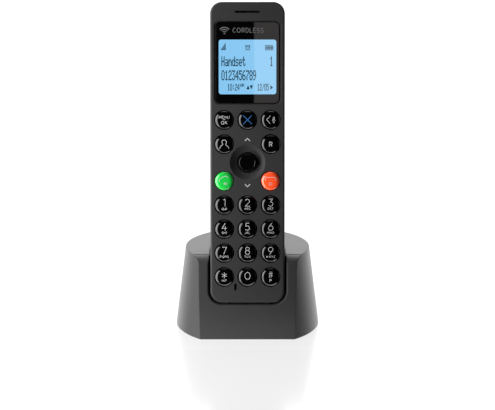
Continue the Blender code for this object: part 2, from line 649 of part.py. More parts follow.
def base_cover():
    """Bottom plate with posts for the board, on rubber feet, held by screws."""
    thickness = 2.0 * MM
    top = FOOT_STAND + thickness
    radius = base_radius(top) - BASE_WALL - GAP
    cover = place("base_cover", rod(radius, FOOT_STAND, top, 64, at=(0, AXIS_Y, 0)), BASE_GREY)
    # Upright front edge, clear of the shell's leaning wall at the plate's top.
    edge_y = AXIS_Y - front_offset(top) + (BASE_WALL + GAP) / math.cos(LEAN)
    keep = place("cover_front", block((-60 * MM, 60 * MM), (edge_y, 60 * MM), (-1 * MM, 6 * MM)), None)
    boolean(cover, keep, "INTERSECT")
    for index, (x, y) in enumerate([(-20, -10), (20, -10), (-20, 19), (20, 19)]):
        at = (x * MM, y * MM, 0)
        add(cover, f"board_post_{index}", rod(2 * MM, top - 0.6 * MM, 7.7 * MM, 8, at=at))
    for index, (x, y) in enumerate(FEET):
        cut(cover, f"foot_recess_{index}", rod(FOOT_RADIUS + GAP, -1 * MM, 1.0 * MM, 16, at=(x, y, 0)))
        foot = rod(FOOT_RADIUS, 0, 1.0 * MM - GAP, 16, at=(x, y, 0))
        place(f"foot_{index + 1}", foot, RUBBER)
    for index, (x, y) in enumerate(BASE_SCREWS):
        cut(cover, f"cover_hole_{index}", rod(1.5 * MM, -1 * MM, 4 * MM, at=(x, y, 0)))
        cut(cover, f"cover_counterbore_{index}", rod(2.9 * MM, -1 * MM, 1.5 * MM, at=(x, y, 0)))
        profile = [
            (0.0, 9.0 * MM),
            (1.2 * MM, 8.4 * MM),
            (1.2 * MM, 1.2 * MM),
            (2.6 * MM, 1.2 * MM),
            (2.6 * MM, 0.5 * MM),
            (0.0, 0.5 * MM),
        ]
        turned(f"base_screw_{index + 1}", profile, STEEL, 12, location=(x, y, 0))
    weight = block((-24 * MM, 24 * MM), (-26.5 * MM, -14 * MM), (top + GAP, 7.2 * MM))
    place("base_weight", weight, STEEL)


def base_electronics():
    """Board, line and power sockets, page button and the sprung charging contacts."""
    board = block((-24 * MM, 24 * MM), (-12 * MM, 25.4 * MM), (8 * MM, BOARD_TOP))
    place("base_board", board, BOARD_GREEN)

    face_y = BAY_WALL_Y + 0.2 * MM
    line = place("line_socket", block(LINE_SOCKET_X, (14 * MM, face_y), SOCKET_Z), RUBBER)
    middle = sum(LINE_SOCKET_X) / 2
    mouth_z = (SOCKET_Z[0] + 2.2 * MM, SOCKET_Z[0] + 8.8 * MM)
    mouth_x = (middle - 4.85 * MM, middle + 4.85 * MM)
    cut(line, "line_mouth", block(mouth_x, (face_y - 12 * MM, face_y + 1 * MM), mouth_z))
    latch_x = (middle - 2 * MM, middle + 2 * MM)
    latch = block(latch_x, (face_y - 12 * MM, face_y + 1 * MM), (mouth_z[0] - 1.2 * MM, 15 * MM))
    cut(line, "line_latch", latch)

    power_socket = place("power_socket", block(POWER_SOCKET_X, (14 * MM, face_y), SOCKET_Z), RUBBER)
    at = (sum(POWER_SOCKET_X) / 2, 0, sum(SOCKET_Z) / 2)
    cut(power_socket, "power_bore", rod(2.8 * MM, face_y - 9 * MM, face_y + 1 * MM, 16, along="Y", at=at))
    pin = rod(0.85 * MM, face_y - 9.6 * MM, face_y - 1 * MM, 8, along="Y", at=at)
    add(power_socket, "power_pin", pin)

    profile = [
        (0.0, 3.0 * MM),
        (2.6 * MM, 3.0 * MM),
        (3.0 * MM, 2.6 * MM),
        (3.0 * MM, -0.9 * MM),
        (3.9 * MM, -0.9 * MM),
        (3.9 * MM, -1.6 * MM),
        (0.0, -1.6 * MM),
    ]
    behind_wall = BAY_WALL_Y - BASE_WALL + 0.6 * MM
    button_at = (0, behind_wall, PAGE_BUTTON_Z)
    turned("page_button", profile, KEY_BLACK, 16, None, button_at, (math.radians(-90), 0, 0))

    for side, label in ((-1, "left"), (1, "right")):
        seat = (side * CONTACT_X, CONTACT_DEPTH, 0)
        sleeve = [
            (2.4 * MM, -3.0 * MM),
            (2.4 * MM, -9.0 * MM),
            (0.0, -9.0 * MM),
        ]
        bore = [(0.0, -8.3 * MM), (1.5 * MM, -8.3 * MM), (1.5 * MM, -3.0 * MM)]
        turned(f"contact_sleeve_{label}", [*bore, *sleeve], STEEL, 12, handset, seat)
        plunger = [
            (0.0, -GAP),
            (0.8 * MM, -0.5 * MM),
            (1.2 * MM, -1.0 * MM),
            (1.2 * MM, -7.2 * MM),
            (0.0, -7.2 * MM),
        ]
        turned(f"contact_plunger_{label}", plunger, GOLD, 12, handset, seat)


front_cover()
rear_cover()
battery_door()
display()
boards()
sound()
keys()
nav_knob()
power()
base_shell()
base_cover()
base_electronics()

for part in parts.objects:
    if part.type == "MESH":
        smooth(part)
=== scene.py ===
# %% [markdown]
# # A cordless phone standing in its base
# A slim handset leans back in the pocket of a cone-shaped charging base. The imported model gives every
# part its place, size and joint. This file gives the same parts their looks: fine round edges, printed
# legends, gloss, grain and light. Each step says what the piece is on the real phone, how it could be
# made in Blender, and why this way was chosen.

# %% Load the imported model
import json
import math
import re

import bmesh
import bpy
from mathutils import Matrix, Vector


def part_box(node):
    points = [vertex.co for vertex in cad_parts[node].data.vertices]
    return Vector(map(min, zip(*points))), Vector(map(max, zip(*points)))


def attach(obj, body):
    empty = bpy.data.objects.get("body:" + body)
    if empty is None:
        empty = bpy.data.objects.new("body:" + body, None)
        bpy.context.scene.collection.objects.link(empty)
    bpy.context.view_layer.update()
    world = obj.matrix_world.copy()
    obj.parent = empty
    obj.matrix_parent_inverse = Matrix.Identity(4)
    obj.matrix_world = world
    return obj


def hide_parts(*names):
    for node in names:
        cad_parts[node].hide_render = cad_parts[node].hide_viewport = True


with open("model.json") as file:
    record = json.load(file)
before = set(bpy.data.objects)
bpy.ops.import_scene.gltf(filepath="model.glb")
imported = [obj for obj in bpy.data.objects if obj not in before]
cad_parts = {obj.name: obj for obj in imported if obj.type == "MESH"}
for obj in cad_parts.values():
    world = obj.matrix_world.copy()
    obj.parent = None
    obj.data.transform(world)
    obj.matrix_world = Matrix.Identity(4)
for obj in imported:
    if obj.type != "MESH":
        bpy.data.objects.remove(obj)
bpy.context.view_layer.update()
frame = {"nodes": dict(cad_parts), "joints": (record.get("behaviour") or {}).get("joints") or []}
MM = 0.001
scene = bpy.context.scene
scene.view_settings.view_transform = "Standard"

# %% [markdown]
# ## The handset's own frame
# Nearly everything on the handset is easiest to describe upright: x across the keys, y from the front
# face into the case, z up from the bottom end. The handset leans back, so that frame is tilted. Its
# directions needn't be typed in: the joint that lifts the handset runs along its length, and a key's
# joint runs straight into its face. The front cover's lowest and foremost points give the corner.

# %% Find the handset's frame
axes = {joint["name"]: Vector(joint["axis"]).normalized() for joint in frame["joints"]}
UP = axes["handset_lift"]
INTO = axes["key_5_press"]
ACROSS = INTO.cross(UP)
cover_points = [v.co for v in frame["nodes"]["front_cover"].data.vertices]
corner = UP * min(p.dot(UP) for p in cover_points) + INTO * min(p.dot(INTO) for p in cover_points)
HANDSET = Matrix.Translation(corner) @ Matrix((ACROSS, INTO, UP)).transposed().to_4x4()
TO_HANDSET = HANDSET.inverted()
LEAN = math.atan2(UP.y, UP.z)
print("handset leans", round(math.degrees(LEAN), 2), "degrees, from", [round(c / MM, 2) for c in corner])


def seat(node):
    """Lowest and highest corners of a CAD node in the handset's frame."""
    points = [TO_HANDSET @ v.co for v in frame["nodes"][node].data.vertices]
    low = Vector([min(p[axis] for p in points) for axis in range(3)])
    high = Vector([max(p[axis] for p in points) for axis in range(3)])
    return low, high


# %% [markdown]
# ## Solids from outlines
# Injection-moulded parts are outlines with a thickness and rounded rims. One way is a box with a Bevel
# modifier, but the corners of a phone have a large radius and its rims a small one, and Bevel handles
# only one width well. Here an outline is repeated at several depths, each time moved in or out a
# little, and the rings are joined. A quarter circle of such steps is a perfectly round rim, the corners
# stay round, and the same helper makes the tool that cuts a recess.

# %% Outlines


def full_turn(sides):
    """Evenly spaced angles all the way round."""
    return [2 * math.pi * side / sides for side in range(sides)]


def rectangle(x, z, radius, steps=10):
    """A function that gives a round-cornered rectangle's points, moved inwards by its argument."""

    def outline(inset=0.0):
        left, right, low, high = x[0] + inset, x[1] - inset, z[0] + inset, z[1] - inset
        r = max(radius - inset, 0.02 * MM)
        points = []
        corners = ((right - r, low + r, -90), (right - r, high - r, 0))
        corners += ((left + r, high - r, 90), (left + r, low + r, 180))
        for centre_x, centre_z, start in corners:
            for step in range(steps + 1):
                angle = math.radians(start + 90 * step / steps)
                points.append((centre_x + r * math.cos(angle), centre_z + r * math.sin(angle)))
        return points

    return outline


def circle(radius, x=0.0, z=0.0, sides=64):
    """The same for a circle."""

    def outline(inset=0.0):
        r = radius - inset
        return [(x + r * math.cos(turn), z + r * math.sin(turn)) for turn in full_turn(sides)]

    return outline


# %% Skins between rings


def band(bm, ring, following):
    """Faces between two closed rings of equal length."""
    for index in range(len(ring)):
        after = (index + 1) % len(ring)
        bm.faces.new((ring[index], ring[after], following[after], following[index]))


def skin(bm, rings):
    """Joins rings of equal length into a tube with both ends closed. Returns the two end faces."""
    ends = [bm.faces.new(rings[0]), bm.faces.new(rings[-1])]
    for ring, following in zip(rings, rings[1:]):
        band(bm, ring, following)
    return ends


def stack(outline, layers):
    """A bmesh: the outline at each (depth, inset), joined into a closed solid."""
    bm = bmesh.new()
    skin(bm, [[bm.verts.new((x, y, z)) for x, z in outline(inset)] for y, inset in layers])
    bmesh.ops.recalc_face_normals(bm, faces=bm.faces[:])
    return bm


# %% Round rims and lips


def quarter_turn(steps):
    """Evenly spaced angles from 0 to a right angle, both included."""
    return [math.pi / 2 * step / steps for step in range(steps + 1)]


def front_rim(depth, radius, steps=6):
    """Layers of a rim that rounds from the face at this depth down to the full outline."""
    turns = quarter_turn(steps)
    return [(depth + radius * (1 - math.cos(t)), radius * (1 - math.sin(t))) for t in turns]


def rear_rim(depth, radius, steps=6):
    """The same towards a face at the back."""
    turns = reversed(quarter_turn(steps))
    return [(depth - radius * (1 - math.cos(t)), radius * (1 - math.sin(t))) for t in turns]


def flare(depth, radius, steps=6, over=1.0 * MM):
    """Layers of a cutting tool that leaves a round lip of this radius on the face at this depth."""
    turns = reversed(quarter_turn(steps))
    lip = [(depth + radius * (1 - math.sin(t)), -radius * (1 - math.cos(t))) for t in turns]
    return [(depth - over, -radius)] + lip


# %% Boxes and turned shapes


def block(x, y, z):
    """A bmesh: a box from its limits."""
    bm = bmesh.new()
    bmesh.ops.create_cube(bm, size=1.0)
    low, high = Vector((x[0], y[0], z[0])), Vector((x[1], y[1], z[1]))
    scale = Matrix.Diagonal((*(high - low), 1))
    bmesh.ops.transform(bm, matrix=Matrix.Translation((low + high) / 2) @ scale, verts=bm.verts[:])
    return bm


def turned(profile, x=0.0, z=0.0, sides=64):
    """A bmesh: a profile of (radius, depth), first and last on the axis, turned about that axis."""
    bm = bmesh.new()
    rings = []
    for radius, depth in profile[1:-1]:
        ring = [(x + radius * math.cos(t), depth, z + radius * math.sin(t)) for t in full_turn(sides)]
        rings.append([bm.verts.new(point) for point in ring])
    poles = [bm.verts.new((x, depth, z)) for _, depth in (profile[0], profile[-1])]
    for ring, following in zip(rings, rings[1:]):
        band(bm, ring, following)
    for pole, ring in zip(poles, (rings[0], rings[-1])):
        for index in range(sides):
            bm.faces.new((pole, ring[index], ring[(index + 1) % sides]))
    bmesh.ops.recalc_face_normals(bm, faces=bm.faces[:])
    return bm


# %% [markdown]
# ## Cutting and joining
# Holes, windows and recesses are cut with Boolean modifiers, as a machinist would cut them. The exact
# solver gives clean edges where a tool's flare meets a flat face. Afterwards the result is stored as a
# plain mesh, so the tools can be thrown away. Flat faces next to small round rims shade badly with plain
# smooth normals: the Weighted Normal modifier lets the big flat faces win.

# %% Tools for cutting and placing


def new_object(name, bm, to_world=None):
    """An object from a bmesh, which is spent."""
    if to_world is not None:
        bmesh.ops.transform(bm, matrix=to_world, verts=bm.verts[:])
    mesh = bpy.data.meshes.new(name)
    bm.to_mesh(mesh)
    bm.free()
    obj = bpy.data.objects.new(name, mesh)
    scene.collection.objects.link(obj)
    return obj


def together(shapes):
    """One bmesh of several that don't touch."""
    mesh = bpy.data.meshes.new("together")
    whole = bmesh.new()
    for bm in shapes:
        bm.to_mesh(mesh)
        bm.free()
        whole.from_mesh(mesh)
    bpy.data.meshes.remove(mesh)
    return whole


def carve(bm, steps, merge=0.0005 * MM):
    """A new bmesh: bm after each (operation, shape) step, the shapes being bmeshes in the same frame."""
    body = new_object("body", bm)
    tools = []
    for operation, shape in steps:
        tool = new_object("tool", shape)
        tools.append(tool)
        modifier = body.modifiers.new("carve", "BOOLEAN")
        modifier.operation = operation
        modifier.object = tool
    bpy.context.view_layer.update()
    evaluated = body.evaluated_get(bpy.context.evaluated_depsgraph_get())
    result = bmesh.new()
    result.from_mesh(evaluated.to_mesh())
    evaluated.to_mesh_clear()
    for obj in [body, *tools]:
        mesh = obj.data
        bpy.data.objects.remove(obj)
        bpy.data.meshes.remove(mesh)
    bmesh.ops.remove_doubles(result, verts=result.verts[:], dist=merge)
    bmesh.ops.dissolve_degenerate(result, edges=result.edges[:], dist=merge)
    return result


def piece(name, bm, material, body, nodes=(), to_world=HANDSET, crease=35, weighted=True):
    """A finished piece: shaded, riding on its body, and standing for the CAD nodes it replaces."""
    obj = new_object(name, bm, to_world)
    obj.data.materials.append(material)
    obj.data.shade_smooth()
    obj.data.set_sharp_from_angle(angle=math.radians(crease))
    if weighted:
        normals = obj.modifiers.new("weighted_normals", "WEIGHTED_NORMAL")
        normals.keep_sharp = True
    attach(obj, body)
    if nodes:
        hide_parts(*nodes)
    return obj


# %% [markdown]
# ## Shader maths in plain Python
# A procedural finish is a little calculation for each point of the surface. Linking Math nodes by hand
# hides that calculation, so a small class wraps a node's output and lets Python's own operators add the
# Math nodes. Every other node comes from one method: its type, its settings, then its sockets.

# %% A socket that does arithmetic


class Signal:
    """A number on its way through a tree of nodes."""

    def __init__(self, nodes, socket):
        self.nodes = nodes
        self.socket = socket

    def math(self, operation, *others):
        values = dict(enumerate((self, *others)))
        return self.nodes.node("Math", {"operation": operation}, values)

    def __add__(self, other):
        return self.math("ADD", other)

    def __mul__(self, other):
        return self.math("MULTIPLY", other)

    def __sub__(self, other):
        return self.math("SUBTRACT", other)

    def __rsub__(self, other):
        return self.nodes.node("Math", {"operation": "SUBTRACT"}, {0: other, 1: self})

    __radd__ = __add__
    __rmul__ = __mul__

    def above(self, limit):
        return self.math("GREATER_THAN", limit)

    def fold(self, width):
        """0 on every multiple of width, 1 halfway between."""
        return self.math("PINGPONG", width / 2) * (2 / width)

    def ramp(self, low, high, start=0.0, stop=1.0):
        """From start to stop, smoothly, while the signal goes from low to high."""
        values = {"Value": self, "From Min": low, "From Max": high, "To Min": start, "To Max": stop}
        return self.nodes.node("MapRange", {"interpolation_type": "SMOOTHSTEP"}, values)


# %% A tree of nodes


class Nodes:
    """A tree of nodes that signals run through."""

    def __init__(self, tree):
        self.tree = tree

    def feed(self, node, values):
        for key, value in values.items():
            socket = node.inputs[key]
            if isinstance(value, Signal):
                self.tree.links.new(value.socket, socket)
            else:
                socket.default_value = value

    def node(self, kind, settings=None, values=None, output=0):
        made = self.tree.nodes.new("ShaderNode" + kind)
        for key, value in (settings or {}).items():
            setattr(made, key, value)
        self.feed(made, values or {})
        return Signal(self, made.outputs[output])

    def axis(self, name, coordinates="Object"):
        """One of X, Y and Z at the point: in metres on an object, or of the direction in a world."""
        place = self.node("TexCoord", output=coordinates)
        return self.node("SeparateXYZ", {}, {0: place}, output=name)


# %% A finish


def shade(colour, factor):
    """The same colour, darker or lighter."""
    return [channel * factor for channel in colour]


class Finish(Nodes):
    """A material whose Principled shader is fed by signals."""

    def __init__(self, name, colour, roughness, **fixed):
        self.material = bpy.data.materials.new(name)
        self.material.use_nodes = True
        super().__init__(self.material.node_tree)
        self.shader = self.tree.nodes["Principled BSDF"]
        self.wear(Base_Color=(*colour, 1.0), Roughness=roughness, **fixed)

    def wear(self, **signals):
        self.feed(self.shader, {key.replace("_", " "): value for key, value in signals.items()})

    def noise(self, per_metre, detail=2.0):
        """Noise from 0 to 1 with this many features in a metre."""
        place = self.node("TexCoord", output="Object")
        return self.node("TexNoise", {}, {"Vector": place, "Scale": per_metre, "Detail": detail})

    def tint(self, amount, dark, light):
        """A colour between two, by a signal from 0 to 1."""
        values = {0: amount, 6: (*dark, 1.0), 7: (*light, 1.0)}
        return self.node("Mix", {"data_type": "RGBA"}, values, output=2)

    def bump(self, height, depth, strength=1.0):
        """Feeds the normal with a relief of this depth in metres."""
        values = {"Height": height, "Distance": depth, "Strength": strength}
        self.wear(Normal=self.node("Bump", {}, values))


# %% [markdown]
# ## Moulded plastic
# The cases are moulded in a dark grey plastic whose tool was spark-eroded: under a lens the surface is a
# fine, even grain of a few tenths of a millimetre, which turns the gloss into a soft satin. An image
# texture would need unwrapping and would blur up close. Noise in the object's own coordinates stays
# sharp at any distance. Three scales are mixed: the grain, a slight mottling from the way the melt
# flowed, and broad, barely visible changes of sheen from handling.

# %% Grained plastic
GRAIN, FLOW_MARKS, HANDLING = 4200.0, 260.0, 38.0  # features in a metre
GRAIN_RELIEF = 0.012 * MM


def grained_plastic(name, colour, roughness):
    """Satin moulded plastic: grain in the normal, mottling in the colour, handling in the sheen."""
    finish = Finish(name, colour, roughness, IOR=1.5)
    fine = finish.noise(GRAIN, 3.0)
    flow = finish.noise(FLOW_MARKS, 2.0)
    handling = finish.noise(HANDLING, 2.0)
    mottle = fine * 0.45 + flow * 0.3 + handling * 0.25
    finish.wear(Base_Color=finish.tint(mottle, shade(colour, 0.86), shade(colour, 1.14)))
    finish.wear(Roughness=roughness - 0.06 + flow * 0.05 + handling * 0.07)
    finish.bump(fine, GRAIN_RELIEF, 0.55)
    return finish.material


CASE = grained_plastic("case_plastic", (0.047, 0.047, 0.048), 0.46)
BASE = grained_plastic("base_plastic", (0.050, 0.050, 0.051), 0.42)
# painted shade: a near-black plastic for the walls inside the earpiece and microphone slots, where shade
# falls
SLOT_SHADE = grained_plastic("slot_painted_shade", (0.008, 0.008, 0.008), 0.7)
print("plastics:", CASE.name, BASE.name, SLOT_SHADE.name)

# %% [markdown]
# ## Glossy caps and paint
# Keys are clear-coated: a deep colour under a smooth skin. Perfect gloss looks like computer graphics,
# so the skin gets a faint orange peel, a few micrometres deep, and finger smudges that raise the
# roughness in patches. The legends are a matt paint, laid on thick enough to have an edge.

# %% Gloss and ink
SMUDGES, ORANGE_PEEL, INK_SPECKLE = 170.0, 900.0, 2600.0  # features in a metre
PEEL_RELIEF = 0.003 * MM


def lacquer(name, colour, roughness=0.05, **fixed):
    """Clear-coated plastic with orange peel and smudges."""
    finish = Finish(name, colour, roughness, IOR=1.5, **fixed)
    smudge = finish.noise(SMUDGES, 3.0)
    peel = finish.noise(ORANGE_PEEL, 1.0)
    finish.wear(Base_Color=finish.tint(smudge, shade(colour, 0.9), shade(colour, 1.1)))
    finish.wear(Roughness=roughness + smudge.above(0.6) * 0.02 + smudge * 0.03)
    finish.bump(peel, PEEL_RELIEF, 0.4)
    return finish.material


def paint(name, colour, glow=0.0):
    """Printed ink: matt, a little uneven where the pad pressed."""
    finish = Finish(name, colour, 0.5, Emission_Color=(*colour, 1.0), Emission_Strength=glow)
    cover = finish.noise(INK_SPECKLE, 2.0)
    thin = shade(colour, 0.82)
    finish.wear(Base_Color=finish.tint(cover, thin, colour), Roughness=0.42 + cover * 0.16)
    return finish.material


# %% The caps' and the inks' colours
KEY_BLACK = lacquer("key_black", (0.001, 0.001, 0.0011), 0.055)
KEY_GREEN = lacquer("key_green", (0.010, 0.40, 0.045), 0.12, Coat_Weight=0.6, Coat_Roughness=0.05)
KEY_RED = lacquer("key_red", (0.88, 0.075, 0.018), 0.12, Coat_Weight=0.6, Coat_Roughness=0.05)
WHITE_INK = paint("white_ink", (0.72, 0.72, 0.72))
BLUE_INK = paint("blue_ink", (0.05, 0.22, 0.6))
GREY_INK = paint("grey_ink", (0.2, 0.2, 0.205))
print("gloss:", KEY_BLACK.name, KEY_GREEN.name, KEY_RED.name)
print("inks:", WHITE_INK.name, BLUE_INK.name, GREY_INK.name)

# %% [markdown]
# ## The front cover
# The front cover is a shallow tray with a hole for each key, a dish for the navigation knob, a step for
# the display's lens, the earpiece's groove and the microphone's slot. It could be modelled by pushing
# edge loops around nineteen circles, but each hole would distort its neighbours. Cutting is cleaner. Each
# tool is flared where it leaves the face, which leaves the small round lip that catches the light.

# %% Front cover: the tray
cover_low, cover_high = seat("front_cover")
lens_low, lens_high = seat("display_lens")
KEYS = [name for name in frame["nodes"] if name.startswith("key_")]
key_middle = {name: (seat(name)[0] + seat(name)[1]) / 2 for name in KEYS}
knob_middle = (seat("nav_knob")[0] + seat("nav_knob")[1]) / 2
EARPIECE_Z = sum(limit.z for limit in seat("earpiece_speaker")) / 2
MICROPHONE = sum(seat("microphone"), Vector()) / 2
FRONT_WALL = 2.4 * MM
CASE_WALL = 1.6 * MM
CORNER = 6.9 * MM
FRONT_ROUND = 1.3 * MM
case_x = (cover_low.x, cover_high.x)
case_z = (cover_low.z, cover_high.z)
case_outline = rectangle(case_x, case_z, CORNER, 14)
tray = stack(case_outline, front_rim(0.0, FRONT_ROUND, 7) + [(cover_high.y, 0.0)])
print("keys:", len(KEYS), "case:", [round(c / MM, 1) for c in (cover_high - cover_low)])


# %% Front cover: the knob's dish
DISH_RIM, DISH_HOLE, DISH_DEPTH = 10.2 * MM, 5.6 * MM, 3.1 * MM
DISH_STEEPNESS = 1.3  # slope at the rim, as a multiple of an even cone's


def dish_profile(steps=12, over=1.0 * MM, through=5.0 * MM):
    """The knob's dish: a bowl, steep at its rim and flatter towards the hole."""
    curve = []
    for step in range(steps + 1):
        share = step / steps
        depth = DISH_DEPTH * (DISH_STEEPNESS * share - (DISH_STEEPNESS - 1) * share**2)
        curve.append((DISH_RIM - (DISH_RIM - DISH_HOLE) * share, depth))
    lip = [(DISH_RIM + 0.5 * MM, -over), (DISH_RIM + 0.25 * MM, -0.02 * MM)]
    return [(0.0, -over), *lip, *curve, (DISH_HOLE, through), (0.0, through)]


# The cover is thinner than the dish is deep, so a disc is added behind it first.
dish_back = stack(circle(DISH_RIM + 0.4 * MM, 0, knob_middle.z), [(2.0 * MM, 0), (3.8 * MM, 0)])
dish = turned(dish_profile(), 0, knob_middle.z, 96)
print("dish:", DISH_DEPTH / MM, "mm deep")

# %% Front cover: holes, window and slots
KEY_HOLE = 5.68 * MM
KEY_LIP, SLOT_LIP = 0.25 * MM, 0.15 * MM
through = [(FRONT_WALL + 1 * MM, 0.0)]
key_holes = [stack(circle(KEY_HOLE, middle.x, middle.z), flare(0, KEY_LIP, 4) + through)
             for middle in key_middle.values()]
lens_outline = rectangle((lens_low.x, lens_high.x), (lens_low.z, lens_high.z), 2.9 * MM)
# A shallow groove runs round the lens, and inside it is the deeper seat that the lens lies in.
groove = [(-1 * MM, -1.05 * MM), (0.0, -1.05 * MM), (0.12 * MM, -0.93 * MM), (0.6 * MM, -0.9 * MM)]
lens_seat = [(0.3 * MM, -0.3 * MM), (1.65 * MM, -0.3 * MM)]
LCD_X, LCD_Z = (-16.5 * MM, 16.5 * MM), (lens_low.z + 5.2 * MM, lens_low.z + 36.4 * MM)
window = rectangle(LCD_X, LCD_Z, 1.4 * MM)
EAR_GROOVE, EAR_SLOT, EAR_HALF = 7.2 * MM, 3.6 * MM, 0.63 * MM
ear_z = (EARPIECE_Z - EAR_HALF, EARPIECE_Z + EAR_HALF)
ear_groove = rectangle((-EAR_GROOVE, EAR_GROOVE), ear_z, 0.62 * MM, 6)
ear_slot = rectangle((-EAR_SLOT, EAR_SLOT), ear_z, 0.62 * MM, 6)
MIC_HALF = (0.7 * MM, 2.0 * MM)
mic_x = (MICROPHONE.x - MIC_HALF[0], MICROPHONE.x + MIC_HALF[0])
mic_z = (MICROPHONE.z - MIC_HALF[1], MICROPHONE.z + MIC_HALF[1])
mic_slot = rectangle(mic_x, mic_z, 0.6 * MM, 6)
inner = rectangle((case_x[0] + CASE_WALL, case_x[1] - CASE_WALL),
                  (case_z[0] + CASE_WALL, case_z[1] - CASE_WALL), CORNER - CASE_WALL, 8)
print("key holes:", len(key_holes))

# %% Front cover: cut it
steps = [
    ("DIFFERENCE", stack(inner, [(FRONT_WALL, 0), (cover_high.y + 1 * MM, 0)])),
    ("UNION", dish_back),
    ("DIFFERENCE", dish),
    ("DIFFERENCE", together(key_holes)),
    ("DIFFERENCE", stack(lens_outline, groove)),
    ("DIFFERENCE", stack(lens_outline, lens_seat)),
    ("DIFFERENCE", stack(window, [(1 * MM, -0.4 * MM), (3 * MM, -0.4 * MM)])),
    ("DIFFERENCE", stack(ear_groove, flare(0, SLOT_LIP, 3) + [(1.5 * MM, 0)])),
    ("DIFFERENCE", stack(ear_slot, [(0.3 * MM, 0.06 * MM), (3 * MM, 0.06 * MM)])),
    ("DIFFERENCE", stack(mic_slot, flare(0, SLOT_LIP, 3) + [(3 * MM, 0)])),
]
cover = carve(tray, steps)
for face in cover.faces:  # inside the two slots the walls get painted shade: a near-black, rougher plastic
    x, y, z = face.calc_center_median()
    in_ear = abs(z - EARPIECE_Z) < EAR_HALF + 0.01 * MM and abs(x) < EAR_GROOVE + 0.1 * MM
    in_mic = abs(z - MICROPHONE.z) < MIC_HALF[1] + 0.1 * MM
    in_mic = in_mic and abs(x - MICROPHONE.x) < MIC_HALF[0] + 0.02 * MM
    if (in_ear or in_mic) and y > 0.12 * MM:
        face.material_index = 1
front = piece("front_cover_moulding", cover, CASE, "handset", ["front_cover"])
front.data.materials.append(SLOT_SHADE)
print("front cover:", len(front.data.polygons), "faces")

# %% [markdown]
# ## The display
# The lens is a clear plate, printed black from behind with a window left open, and the liquid crystal
# panel glows blue a millimetre below. The plate is one closed solid: its two window faces are clear and
# the rest is black gloss, so the eye looks through it as it would through the real one.

# %% Lens
CLEAR = Finish("lens_clear", (1.0, 1.0, 1.0), 0.0, IOR=1.46, Transmission_Weight=1.0).material
BACKPRINT = Finish("lens_print", (0.002, 0.002, 0.0022), 0.0, IOR=1.5)
BACKPRINT.wear(Roughness=0.004 + BACKPRINT.noise(140.0, 3.0) * 0.016)
BACKPRINT.bump(BACKPRINT.noise(300.0, 1.0), 0.0004 * MM, 0.3)
LENS_PRINT = BACKPRINT.material
LENS_EDGE = 0.3 * MM


def lens_plate():
    """The lens: window faces joined to the outer rim at the front and at the back."""
    bm = bmesh.new()
    front_y, back_y = lens_low.y, lens_high.y
    layers = [(window, front_y, 0.0), (lens_outline, front_y, LENS_EDGE)]
    layers += [(lens_outline, front_y + 0.1 * MM, 0.12 * MM), (lens_outline, front_y + LENS_EDGE, 0.0)]
    layers += [(lens_outline, back_y, 0.0), (window, back_y, 0.0)]
    rings = [[bm.verts.new((x, y, z)) for x, z in shape(inset)] for shape, y, inset in layers]
    for face in skin(bm, rings):
        face.material_index = 1
    bmesh.ops.recalc_face_normals(bm, faces=bm.faces[:])
    return bm


lens = piece("display_lens_plate", lens_plate(), LENS_PRINT, "handset", ["display_lens"],
             crease=20)
lens.data.materials.append(CLEAR)
print("lens:", [round(c / MM, 2) for c in (lens_high - lens_low)])

# %% [markdown]
# The panel's light comes from a guide behind it and is a little uneven, in soft clouds. The emission colour
# also turns paler towards the right: a painted reflection of the pale card that the lens mirrors there.
# Both go into the emission colour, whose strength stays one number.

# %% Liquid crystal panel
panel_low, panel_high = seat("lcd_panel")
glow = Finish("lcd_glow", (0.02, 0.05, 0.08), 0.35, Emission_Strength=1.0)
# painted reflection: a ramp from left to right that makes the emission colour paler towards the right
painted_reflection_ramp = (glow.axis("X") - LCD_X[0]) * (1.0 / (LCD_X[1] - LCD_X[0]))
cloud = glow.noise(60.0, 1.0)
# the backlight's soft clouds and the painted reflection together set the emission colour
backlight_and_painted_reflection = 0.35 + painted_reflection_ramp * 0.5 + cloud * 0.2
glow.wear(Emission_Color=glow.tint(backlight_and_painted_reflection, (0.235, 0.60, 0.955), (0.285, 0.625, 0.935)))
panel = stack(rectangle((panel_low.x, panel_high.x), (panel_low.z, panel_high.z), 1.2 * MM),
              front_rim(panel_low.y, 0.15 * MM, 3) + [(panel_high.y, 0)])
piece("lcd_glass", panel, glow.material, "handset", ["lcd_panel"])
print("panel at depth", round(panel_low.y / MM, 2), "mm")

# %% [markdown]
# What the display says is set in a five by seven matrix, as on the real panel: tall, narrow dots with a
# hair of light between their rows. A font object would look printed. Each letter below is drawn as its
# rows, and each run of dots becomes a thin tile on the panel. All the words and numbers are neutral.

# %% The display's letters
LETTERS = {
    "H": "10001 10001 10001 11111 10001 10001 10001", "a": "00000 00000 01110 00001 01111 10001 01111",
    "n": "00000 00000 10110 11001 10001 10001 10001", "d": "00001 00001 01101 10011 10001 10001 01111",
    "s": "00000 00000 01111 10000 01110 00001 11110", "e": "00000 00000 01110 10001 11111 10000 01110",
    "t": "01000 01000 11110 01000 01000 01001 00110", "0": "01110 10001 10001 10001 10001 10001 01110",
    "1": "00100 01100 00100 00100 00100 00100 01110", "2": "01110 10001 00001 00110 01000 10000 11111",
    "3": "11111 00010 00100 00010 00001 10001 01110", "4": "00010 00110 01010 10010 11111 00010 00010",
    "5": "11111 10000 11110 00001 00001 10001 01110", "6": "00110 01000 10000 11110 10001 10001 01110",
    "7": "11111 00001 00010 00100 01000 01000 01000", "8": "01110 10001 10001 01110 10001 10001 01110",
    "9": "01110 10001 10001 01111 00001 00010 01100", ":": "00000 00100 00100 00000 00100 00100 00000",
    "/": "00001 00001 00010 00100 01000 10000 10000", "A": "01110 10001 10001 11111 10001 10001 10001",
    "M": "10001 11011 10101 10101 10001 10001 10001", " ": "00000 " * 7,
}
